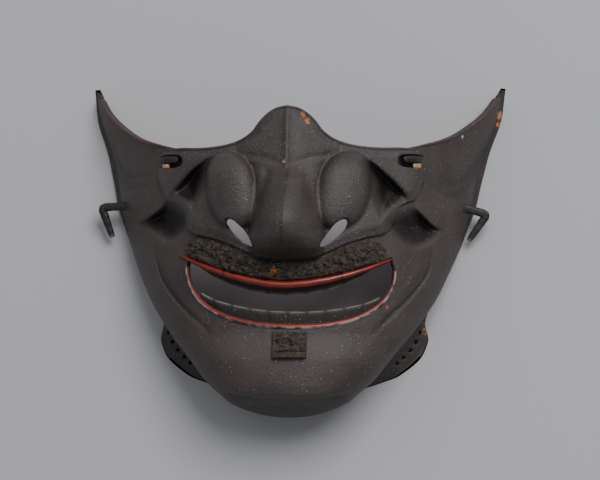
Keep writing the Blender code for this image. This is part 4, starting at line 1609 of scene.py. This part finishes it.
@dataclass(frozen=True)
class Mouth:
    """Lips and teeth.

    Attributes:
        upper_height: Height of the upper lip.
        lower_height: Height of the lower lip.
        depth: Depth of a lip.
        gap: Between the upper lip and the hide's edge.
        upper_off: From there to the upper lip's middle, in half heights.
        upper_wave: Size and pitch of its uneven height.
        upper_depth: Its least depth, and what it gains with its height, as shares.
        lower_depth: The lower lip's depth, as a share.
        upper_sunk: How deep the upper lip sits, in walls.
        lower_sunk: How deep the lower lip sits, in walls.
        lower_swell: Lower lip's thickness at its ends, and what it gains by the middle.
        lower_out: How far the lower lip lies over the hide, in half heights.
        taper: How much thinner the upper lip is at its ends.
        cracks: X of the upper lip's cracks.
        crack: Half width of a crack, where it fades and where it is dark.
        tooth_pitch: Width of a tooth.
        tooth_wall: Thickness of the teeth.
        tooth_gap: Between them and the hide.
        tooth_lap: How far they reach behind its edge.
        tooth_fall: How much less the outermost tooth shows.
        tooth_corner: How much less its corners show.
        tooth_groove: Depth of the groove between two teeth.
        tooth_round: How far the edge is rounded back.
        upper_show: How much of an upper tooth shows.
        lower_show: How much of a lower tooth shows.
        half: Half width between the mouth's corners.
        upper_reach: The upper row's reach, in that half width.
        lower_reach: The lower row's reach.
    """

    upper_height: float = 0.0040
    lower_height: float = 0.0027
    depth: float = 0.0044
    gap: float = 0.0003
    upper_off: float = 1.08
    upper_wave: tuple[float, float] = (0.03, 700.0)
    upper_depth: tuple[float, float] = (0.6, 0.8)
    lower_depth: float = 0.8
    upper_sunk: float = 0.30
    lower_sunk: float = 0.32
    lower_swell: tuple[float, float] = (0.55, 0.45)
    lower_out: float = 0.35
    taper: float = 0.66
    cracks: tuple[float, float] = (-0.0285, 0.0245)
    crack: tuple[float, float] = (0.00055, 0.0002)
    tooth_pitch: float = 0.0088
    tooth_wall: float = 0.0022
    tooth_gap: float = 0.0006
    tooth_lap: float = 0.0035
    tooth_fall: float = 0.75
    tooth_corner: float = 0.05
    tooth_groove: float = 0.00025
    tooth_round: float = 0.0006
    upper_show: float = 0.0076
    lower_show: float = 0.0072
    half: float = 0.0400
    upper_reach: float = 1.08
    lower_reach: float = 1.06

    def upper_lip(self) -> None:
        """Make the bead along the top of the opening."""
        x = np.linspace(-MOUTH.half_width, MOUTH.half_width, 161)
        half = self.upper_height / 2 * (1 - self.taper * (x / MOUTH.half_width) ** 2)
        half *= 1 + self.upper_wave[0] * np.sin(x * self.upper_wave[1])
        x += MOUTH.lip_shift
        y = MOUTH.top(x) - self.gap - half * self.upper_off
        path = np.stack([x, y, FORM.skin(x, y) - FORM.wall * self.upper_sunk], axis=-1)
        least, gain = self.upper_depth
        halves = np.stack([half, self.depth / 2 * (least + gain * half / self.upper_height)],
                          axis=-1)
        lip = bar("upper_lip_lacquer", path, halves, sides=20)

        def tinted(tree: bpy.types.NodeTree, at: bpy.types.NodeSocket,
                 colour: bpy.types.NodeSocket) -> bpy.types.NodeSocket:
            """Lay painted shade on the lip's lower half and draw its two cracks.

            Args:
                tree: Node tree.
                at: Coordinates of the surface.
                colour: Colour so far.

            Returns:
                The new colour.
            """
            turn = add_node(tree, "Attribute", {"attribute_name": "turn"})
            # Painted shade, darker towards the lip's underside.
            low = add_node(tree, "MapRange", {"From Min": -0.25, "From Max": 0.75,
                                              "To Min": 0.0, "To Max": 0.85},
                           {"Value": turn.outputs["Fac"]})
            dark = add_node(tree, "Mix", {"data_type": "RGBA", 7: linear(LIP_UNDERSIDE_SHADE)},
                            {0: low.outputs["Result"], 6: colour})
            where = add_node(tree, "SeparateXYZ", None, {"Vector": at})
            result = dark.outputs[2]
            for crack in self.cracks:
                away = add_node(tree, "Math", {"operation": "SUBTRACT", 1: crack},
                                {0: where.outputs["X"]})
                near = add_node(tree, "Math", {"operation": "ABSOLUTE"}, {0: away.outputs[0]})
                line = add_node(tree, "MapRange", {"From Min": self.crack[0],
                                                   "From Max": self.crack[1]},
                                {"Value": near.outputs[0]})
                result = add_node(tree, "Mix", {"data_type": "RGBA", 7: linear(LIP_CRACK)},
                                  {0: line.outputs["Result"], 6: result}).outputs[2]
            return result

        dress(lip, "red_lacquer", ("upper_lip",), CINNABAR.build(extra=tinted))

    def lower_lip(self) -> None:
        """Make the bead around the lower edge, with a painted grey highlight on its outer half and
        painted shade along its edge.
        """
        turn = np.linspace(math.radians(1.5), math.radians(178.5), 201)
        x, y = MOUTH.bottom(turn)
        step_x, step_y = np.gradient(x), np.gradient(y)
        run = np.hypot(step_x, step_y)
        thin, gain = self.lower_swell
        half = self.lower_height / 2 * (thin + gain * np.sin(turn))
        x = x + step_y / run * half * self.lower_out
        y = y - step_x / run * half * self.lower_out
        path = np.stack([x, y, FORM.skin(x, y) - FORM.wall * self.lower_sunk], axis=-1)
        halves = np.stack([half, np.full(len(half), self.depth / 2 * self.lower_depth)], axis=-1)
        lip = bar("lower_lip_lacquer", path, halves, sides=20)

        def pale_band(tree: bpy.types.NodeTree, at: bpy.types.NodeSocket,
                   colour: bpy.types.NodeSocket) -> bpy.types.NodeSocket:
            """Paint a patchy grey highlight on the lip's outer half, with a dark line of painted
            shade along its outer edge.

            Args:
                tree: Node tree.
                at: Coordinates of the surface.
                colour: Colour so far.

            Returns:
                The new colour.
            """
            turned = add_node(tree, "Attribute", {"attribute_name": "turn"})
            wave = add_node(tree, "TexNoise", {"Scale": LIP_HIGHLIGHT_PATCH, "Detail": 4.0}, {"Vector": at})
            outer = add_node(tree, "Math", {"operation": "MULTIPLY_ADD", 1: 0.9, 2: -0.45},
                             {0: wave.outputs["Fac"]})
            edge = add_node(tree, "Math", {"operation": "ADD"},
                            {0: turned.outputs["Fac"], 1: outer.outputs[0]})
            # Painted highlight: patchy grey over the lip's outer half.
            mask = add_node(tree, "MapRange", {"From Min": 0.15, "From Max": 0.0},
                            {"Value": edge.outputs[0]})
            # Painted shade: dark line along the lip's outer edge.
            outline = add_node(tree, "MapRange", {"From Min": -0.80, "From Max": -0.95},
                               {"Value": turned.outputs["Fac"]})
            patchy = stops(add_node(tree, "ValToRGB", None, {"Fac": wave.outputs["Fac"]}),
                           tuple((place, linear(code)) for place, code in LIP_HIGHLIGHT))
            tinted = add_node(tree, "Mix", {"data_type": "RGBA"},
                            {0: mask.outputs["Result"], 6: colour,
                             7: patchy.outputs["Color"]}).outputs[2]
            return add_node(tree, "Mix", {"data_type": "RGBA", 7: linear(LIP_EDGE_SHADE)},
                            {0: outline.outputs["Result"], 6: tinted}).outputs[2]

        dress(lip, "red_lacquer", ("lower_lip",), CINNABAR.build(extra=pale_band))

    def row(self, name: str, node: str, near: Callable, sign: int, show: float,
            width: float) -> None:
        """Make one row of teeth.

        Args:
            name: Name of the piece.
            node: CAD node that it replaces.
            near: Edge of the opening over X.
            sign: -1 where the teeth hang, 1 where they stand.
            show: How much of a tooth shows on the centre line.
            width: Half width of the row.
        """
        shift = MOUTH.lip_shift if sign < 0 else MOUTH.shift
        across = np.linspace(-width, width, 281) + shift
        share = np.linspace(0, 1, 30)
        share_of, x = np.meshgrid(share, across, indexing="ij")
        phase = np.abs(((x / self.tooth_pitch) % 1.0) - 0.5) * 2
        shown = show * (1 - self.tooth_fall * ((x - shift) / width) ** 4)
        shown *= 1 - self.tooth_corner * phase ** 8
        y = near(x) + sign * ((self.tooth_lap + shown) * share_of - self.tooth_lap)
        lift = -(FORM.wall + self.tooth_gap)
        lift = lift - self.tooth_groove * phase ** 16 * ramp(share_of * 3)
        lift -= self.tooth_round * share_of ** 9
        base = np.stack([x, y, FORM.smooth_skin(x, y)], axis=-1)
        across_normal = normals(base)
        across_normal *= np.sign(across_normal[..., 2:])
        outer = base + across_normal * lift[..., None]
        inner = base - across_normal * (FORM.wall + self.tooth_gap + self.tooth_wall)
        piece = slab(name, outer, inner,
                     paint={"pale_band": share_of ** 22 * (1 - phase ** 4)})

        def pale_edge(tree: bpy.types.NodeTree, at: bpy.types.NodeSocket,
                      colour: bpy.types.NodeSocket) -> bpy.types.NodeSocket:
            """Lighten the teeth's edges, where the black lacquer is abraded.

            Args:
                tree: Node tree.
                at: Coordinates of the surface.
                colour: Colour so far.

            Returns:
                The new colour.
            """
            mask = add_node(tree, "Attribute", {"attribute_name": "pale_band"})
            return add_node(tree, "Mix", {"data_type": "RGBA", 7: linear(TOOTH_EDGE)},
                            {0: mask.outputs["Fac"], 6: colour}).outputs[2]

        finish = TOOTH.build(extra=pale_edge)
        dress(piece, "tooth_lacquer", (node,), finish, finish)

    def build(self) -> None:
        """Make both lips and both rows of teeth."""
        self.upper_lip()
        self.lower_lip()
        self.row("upper_tooth_row", "upper_teeth", MOUTH.top, -1, self.upper_show,
                 self.half * self.upper_reach)
        self.row("lower_tooth_row", "lower_teeth", MOUTH.floor, 1, self.lower_show,
                 self.half * self.lower_reach)


@dataclass(frozen=True)
class HairBeds:
    """Crusts of glue and hair stubs.

    Attributes:
        half: Half width of the moustache.
        ragged: Height of its ragged upper edge.
        lump: Size of its lumps.
        grain: Size of its grains.
        crust: Its mean height, what lumps and grains add to it, and its greatest height.
        lap: How far the moustache laps over the hide's edge.
        proud: How far both crusts stand out at their edges.
        foot: Share of the moustache's height in which it rises from the lip.
        slope: Share in which it thins out upwards.
        thin: What is left of it there.
        brink: Share in which it ends.
        end_fade: Length over which its ends thin out.
        tuft_width: Width of the chin tuft.
        tuft_height: Its height.
        tuft_top: Its upper edge.
        tuft_shift: How far it sits beside the middle.
        tuft_wall: How far its block stands out.
        tuft_round: Width of its rounded edge.
        tuft_band: Share of its height that is smooth, and the share in which it turns rough.
        tuft_lump: Size of its lumps.
        tuft_crust: Height and rim of its crust.
        tuft_sunk: How deep the crust lies in the block, and its rim.
        tuft_groove: Depth, place and width of the groove over the smooth band.
        bed: How far both beds reach into the lacquer.
        fleck: The orange fleck on the moustache.
    """

    half: float = 0.0460
    ragged: float = 0.0012
    lump: float = 0.0034
    grain: float = 0.0011
    crust: tuple[float, float, float, float] = (0.0011, 0.0017, 0.0009, 0.0036)
    lap: float = 0.0002
    proud: float = 0.0003
    foot: float = 0.10
    slope: float = 0.30
    thin: float = 0.25
    brink: float = 0.05
    end_fade: float = 0.003
    tuft_width: float = 0.0155
    tuft_height: float = 0.0115
    tuft_top: float = -0.0375
    tuft_shift: float = 0.0012
    tuft_wall: float = 0.0024
    tuft_round: float = 0.0007
    tuft_band: tuple[float, float] = (0.22, 0.08)
    tuft_lump: float = 0.0026
    tuft_crust: tuple[float, float] = (0.0012, 0.0015)
    tuft_sunk: tuple[float, float] = (0.0006, 0.001)
    tuft_groove: tuple[float, float, float] = (0.0010, 0.26, 0.035)
    bed: float = 0.0004
    fleck: Chip = Chip((274, 271), 0.0022, "b0662c")

    def moustache(self) -> None:
        """Make the crust over the upper lip."""
        across = np.linspace(-self.half, self.half, 371) + MOUTH.lip_shift
        share, x = np.meshgrid(np.linspace(0, 1, 44), across, indexing="ij")
        off = np.abs(x - MOUTH.lip_shift) / FORM.half_width
        top = FORM.height / 2 * through(off, BED_TOP[:, 0], BED_TOP[:, 1])
        top -= MOUTH.tilt * (x - MOUTH.lip_shift)
        low = MOUTH.top(x) - self.lap
        ragged = roughly(np.stack([x, 0 * x, 0 * x], axis=-1)[:1], 0.0022, 3)[0]
        y = low + (top + self.ragged * ragged - low) * share
        base = np.stack([x, y, FORM.skin(x, y)], axis=-1)
        coarse = roughly(base, self.lump, 5)
        fine = roughly(base, self.grain, 3, seed=7.0)
        upper = self.thin + (1 - self.thin) * ramp((1 - share) / self.slope)
        edge = ramp(share / self.foot) * upper
        end = self.half - np.abs(x - MOUTH.lip_shift)
        edge *= ramp((1 - share) / self.brink) * ramp(end / self.end_fade)
        mean, lumps, grains, most = self.crust
        lift = self.proud + edge * np.clip(mean + lumps * coarse + grains * fine, 0.0, most)
        outer = base + np.stack([0 * x, 0 * x, lift], axis=-1)
        inner = base - np.array((0, 0, self.bed))
        piece = slab("moustache_crust", outer, inner)

        def fleck(tree: bpy.types.NodeTree, at: bpy.types.NodeSocket,
                  colour: bpy.types.NodeSocket) -> bpy.types.NodeSocket:
            """Lay the orange fleck on the crust.

            Args:
                tree: Node tree.
                at: Coordinates of the surface.
                colour: Colour so far.

            Returns:
                The new colour.
            """
            return chip_colour(tree, at, colour, self.fleck)

        finish = CRUST.build(extra=fleck)
        dress(piece, "hair_residue", ("moustache_bed",), finish, finish)

    def tuft(self) -> None:
        """Make the crusted block on the chin, with a smooth lower band."""
        across = np.linspace(-self.tuft_width / 2, self.tuft_width / 2, 80)
        share, x = np.meshgrid(np.linspace(0, 1, 60), across, indexing="ij")
        y = self.tuft_top - self.tuft_height * (1 - share)
        at_x = x + self.tuft_shift
        base = np.stack([at_x, y, FORM.skin(at_x, y)], axis=-1)
        rough = roughly(base, self.tuft_lump, 5, seed=3.0)
        band, turning = self.tuft_band
        crust = ramp((share - band) / turning)
        border = np.minimum(share, 1 - share) * self.tuft_height
        border = np.minimum(border, self.tuft_width / 2 - np.abs(x))
        block = self.tuft_wall * ramp(border / self.tuft_round)
        height, rim = self.tuft_crust
        lift = self.proud + block + crust * ramp(border / rim) * height * rough
        sunk, rim = self.tuft_sunk
        depth, place, width = self.tuft_groove
        groove = depth * np.exp(-((share - place) / width) ** 2)
        lift -= sunk * crust * ramp(border / rim) + groove * ramp(border / rim)
        outer = base + np.stack([0 * x, 0 * x, lift], axis=-1)
        inner = base - np.array((0, 0, self.bed))
        finish = CRUST.build()
        dress(slab("chin_tuft_crust", outer, inner), "hair_residue", ("chin_tuft_bed",),
              finish, finish)

    def build(self) -> None:
        """Make both crusts."""
        self.moustache()
        self.tuft()


@dataclass(frozen=True)
class CordHook:
    """Iron hook that the face cord runs over.

    Attributes:
        side: Which cheek.
        reach: Elbow's distance from the centre, as a share of the half width.
        level: Y of the elbow, as a share of the half height.
        lean: Lean of its leg.
        bar: Width of the iron.
        leg: Length of the leg.
        root: Where the shank starts in the hide, as if on the right cheek.
        elbow_z: Height of the elbow.
        bend: Length of the bend on either side of the elbow.
        tip_taper: Leg's width at its tip, as a share.
        flat: Share of the bar's width that its flat sides keep.
        tip_round: Shares of the width over the last rings.
        hammered: Size and pitch of the hammer's marks.
        steps: Rings on the shank or the bend, and rings on the leg.
        tinted: Distance from the tip where the iron is bare, and where it fades.
        tip_over: How far the worn spot's middle lies over the leg's middle.
    """

    side: Side
    reach: float
    level: float
    lean: float
    bar: float = 0.0042
    leg: float = 0.0150
    root: tuple[float, float, float] = (0.0745, 0.0200, 0.0330)
    elbow_z: float = 0.0300
    bend: float = 0.0022
    tip_taper: float = 0.70
    flat: float = 0.92
    tip_round: tuple[float, float, float] = (0.96, 0.88, 0.66)
    hammered: tuple[float, float] = (0.03, 1.1)
    steps: tuple[int, int] = (14, 22)
    tinted: tuple[float, float] = (0.0008, 0.0016)
    tip_over: float = 0.0012

    def build(self) -> None:
        """Forge the hook."""
        sign = self.side.value
        root = np.array(self.root) * (sign, 1, 1)
        elbow = np.array((sign * self.reach * FORM.half_width, self.level * FORM.height / 2,
                          self.elbow_z))
        down = np.array((-sign * math.sin(self.lean), -math.cos(self.lean), 0.0))
        shank = (elbow - root) / np.linalg.norm(elbow - root)
        start, end = elbow - shank * self.bend, elbow + down * self.bend
        few, many = self.steps
        t = np.linspace(0, 1, few)[1:-1, None]
        arc = (1 - t) ** 2 * start + 2 * t * (1 - t) * elbow + t ** 2 * end
        shank_run = root + (start - root) * np.linspace(0, 1, few)[:, None]
        leg_run = end + (elbow + down * self.leg - end) * np.linspace(0, 1, many)[:, None]
        path = np.concatenate([shank_run, arc, leg_run])
        half = np.full(len(path), self.bar / 2 * self.flat)
        half[-many:] *= np.linspace(1, self.tip_taper, many)
        half[-len(self.tip_round):] *= self.tip_round
        half *= 1 + self.hammered[0] * np.sin(np.arange(len(path)) * self.hammered[1])
        name = f"{self.side.name.lower()}_forged_hook"
        piece = bar(name, path, np.stack([half, half], axis=-1), Section.SQUARED, 20)
        tip = FORM.rest @ Vector(path[-1] + np.array((0, 0, self.tip_over)))

        def worn_tip(tree: bpy.types.NodeTree, at: bpy.types.NodeSocket,
                     colour: bpy.types.NodeSocket) -> bpy.types.NodeSocket:
            """Bare the hook's tip.

            Args:
                tree: Node tree.
                at: Coordinates of the surface.
                colour: Colour so far.

            Returns:
                The new colour.
            """
            away = add_node(tree, "VectorMath", {"operation": "DISTANCE", 1: tuple(tip)},
                            {0: at})
            mask = add_node(tree, "MapRange", {"From Min": self.tinted[1],
                                               "From Max": self.tinted[0]},
                            {"Value": away.outputs["Value"]})
            return add_node(tree, "Mix", {"data_type": "RGBA", 7: linear(BARE_IRON)},
                            {0: mask.outputs["Result"], 6: colour}).outputs[2]

        dress(piece, "black_iron", (f"{self.side.name.lower()}_hook",),
              IRON.build(extra=worn_tip))


@dataclass(frozen=True)
class Lump:
    """Rounded block that stands up from the skin.

    Attributes:
        name: Name of the piece.
        node: CAD node that it replaces.
        centre: X and Y of its middle.
        size: Length and width.
        low: Its foot above the skin.
        high: Its top above the skin.
        wobble: How uneven it is.
    """

    name: str
    node: str
    centre: tuple[float, float]
    size: tuple[float, float]
    low: float
    high: float
    wobble: float

    def build(self, finish: Finish, slot: str) -> None:
        """Make the block.

        Args:
            finish: Its finish.
            slot: The record's material slot.
        """
        turn, level = np.meshgrid(np.linspace(0, 2 * math.pi, 49)[:-1], np.linspace(0, 1, 17),
                                  indexing="xy")
        profile = np.sqrt(1 - (np.clip(level * 2 - 1, 0, 1) * 0.93) ** 3)
        stretch = (np.abs(np.cos(turn)) ** 4 + np.abs(np.sin(turn)) ** 4) ** -0.25
        x = self.centre[0] + self.size[0] / 2 * np.cos(turn) * stretch * profile
        y = self.centre[1] + self.size[1] / 2 * np.sin(turn) * stretch * profile
        step = 0.001
        middle_x, middle_y = np.array(self.centre[0]), np.array(self.centre[1])
        z = float(FORM.skin(middle_x, middle_y))
        slope = (float(FORM.skin(middle_x + step, middle_y)) - z) / step
        z = z + (x - self.centre[0]) * slope + self.low + (self.high - self.low) * level
        grid = np.stack([x, y, z], axis=-1)
        grid += np.stack([0 * x, 0 * x, self.wobble * roughly(grid, 0.002, 3)], axis=-1)
        count = grid.shape[1]
        index = np.arange(grid.shape[0] * count).reshape(grid.shape[0], count)
        turned = np.roll(index, -1, axis=1)
        faces = np.stack([index[:-1], turned[:-1], turned[1:], index[1:]], -1).reshape(-1, 4)
        mesh = bpy.data.meshes.new(self.name)
        mesh.from_pydata(grid.reshape(-1, 3).tolist(), [],
                         faces.tolist() + [index[0].tolist()[::-1], index[-1].tolist()])
        outward(mesh)
        dress(place(self.name, mesh), slot, (self.node,), finish.build())


@dataclass(frozen=True)
class StrapLug:
    """Iron lug of one slot, with the wooden wedge under it.

    Attributes:
        side: Which slot.
        plate: The plate that the lug comes through.
        out: Lug's middle beyond the slot's.
        up: Lug's middle above the slot's, as a share of the slot's width.
        lug: Length and width of the lug.
        lug_high: Its top above the skin.
        wedge: Length and width of the wedge.
        wedge_high: Its top above the skin.
        wedge_at: Wedge's middle beyond and below the lug's.
        foot: Feet of both above the skin.
    """

    side: Side
    plate: NosePlate
    out: float = 0.0014
    up: float = 0.17
    lug: tuple[float, float] = (0.0082, 0.0033)
    lug_high: float = 0.0050
    wedge: tuple[float, float] = (0.0038, 0.0024)
    wedge_high: float = 0.0040
    wedge_at: tuple[float, float] = (0.0022, 0.0030)
    foot: float = 0.0004

    def build(self) -> None:
        """Make the lug and its wedge."""
        sign, word = self.side.value, self.side.name.lower()
        x = sign * (self.plate.slot_x + self.out)
        y = self.plate.slot_y + self.plate.slot_width * self.up
        Lump(f"{word}_forged_lug", f"{word}_lug", (x, y), self.lug, self.foot, self.lug_high,
             0.0004).build(IRON, "black_iron")
        at = (x + sign * self.wedge_at[0], y - self.wedge_at[1])
        Lump(f"{word}_split_wedge", f"{word}_wedge", at, self.wedge, self.foot,
             self.wedge_high, 0.0002).build(WOOD, "pale_wood")


@dataclass(frozen=True)
class Studio:
    """Floor, light and camera.

    Attributes:
        floor_size: Width of the floor.
        key: Power of the main softbox in watts.
        fill: Power of the weak one opposite.
        sky: Strength of the room's light.
        lamps: Name, place beside the target and width of each softbox.
    """

    floor_size: float = 6.0
    key: float = 21.0
    fill: float = 2.2
    sky: float = 0.42
    lamps: tuple = field(default=(
        ("key_softbox", (0.50, 0.85, 1.10), 0.9),
        ("fill_softbox", (-0.5, 1.0, 1.1), 1.2)))

    def build(self) -> None:
        """Set up the studio."""
        mesh = bpy.data.meshes.new("studio_floor")
        half = self.floor_size / 2
        corners = [(-half, -half, 0), (half, -half, 0), (half, half, 0), (-half, half, 0)]
        mesh.from_pydata(corners, [], [(0, 1, 2, 3)])
        floor = bpy.data.objects.new("studio_floor", mesh)
        bpy.context.scene.collection.objects.link(floor)
        mesh.materials.append(PAPER.build())
        target = FORM.rest @ Vector(PHOTO.target)
        turn = FORM.rest.to_3x3()
        for (name, place_at, size), power in zip(self.lamps, (self.key, self.fill)):
            light = bpy.data.lights.new(name, "AREA")
            light.size = size
            light.energy = power
            lamp = bpy.data.objects.new(name, light)
            bpy.context.scene.collection.objects.link(lamp)
            lamp.location = target + turn @ Vector(place_at)
            aim = target - lamp.location
            lamp.rotation_euler = aim.to_track_quat("-Z", "Y").to_euler()
        world = bpy.data.worlds.new("studio")
        world.use_nodes = True
        world.node_tree.nodes["Background"].inputs["Strength"].default_value = self.sky
        world.node_tree.nodes["Background"].inputs["Color"].default_value = linear("f4f6fa")
        bpy.context.scene.world = world
        self.camera()

    def camera(self) -> None:
        """Stand the camera where the photograph was taken."""
        lens = bpy.data.cameras.new("photo_camera")
        lens.sensor_width = 36.0
        lens.lens = PHOTO.focal / PHOTO.width * lens.sensor_width
        camera = bpy.data.objects.new("photo_camera", lens)
        bpy.context.scene.collection.objects.link(camera)
        sin, cos = math.sin(PHOTO.turn), math.cos(PHOTO.turn)
        right, up, back = Vector((cos, 0, -sin)), Vector((0, 1, 0)), Vector((sin, 0, cos))
        frame_of = Matrix((right, up, back)).transposed().to_4x4()
        frame_of.translation = Vector(PHOTO.target) + back * PHOTO.reach
        camera.matrix_world = FORM.rest @ frame_of
        bpy.context.scene.camera = camera


def main() -> None:
    """Build the mask and its studio."""
    logging.basicConfig(level=logging.INFO, format="%(message)s")
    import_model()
    plate = NosePlate()
    Shell().build()
    plate.build()
    Mouth().build()
    HairBeds().build()
    CordHook(Side.LEFT, 0.920, 0.247, math.radians(20)).build()
    CordHook(Side.RIGHT, 0.900, 0.202, math.radians(35)).build()
    for side in Side:
        StrapLug(side, plate).build()
    Studio().build()
    bpy.context.view_layer.update()


if __name__ == "__main__":
    main()
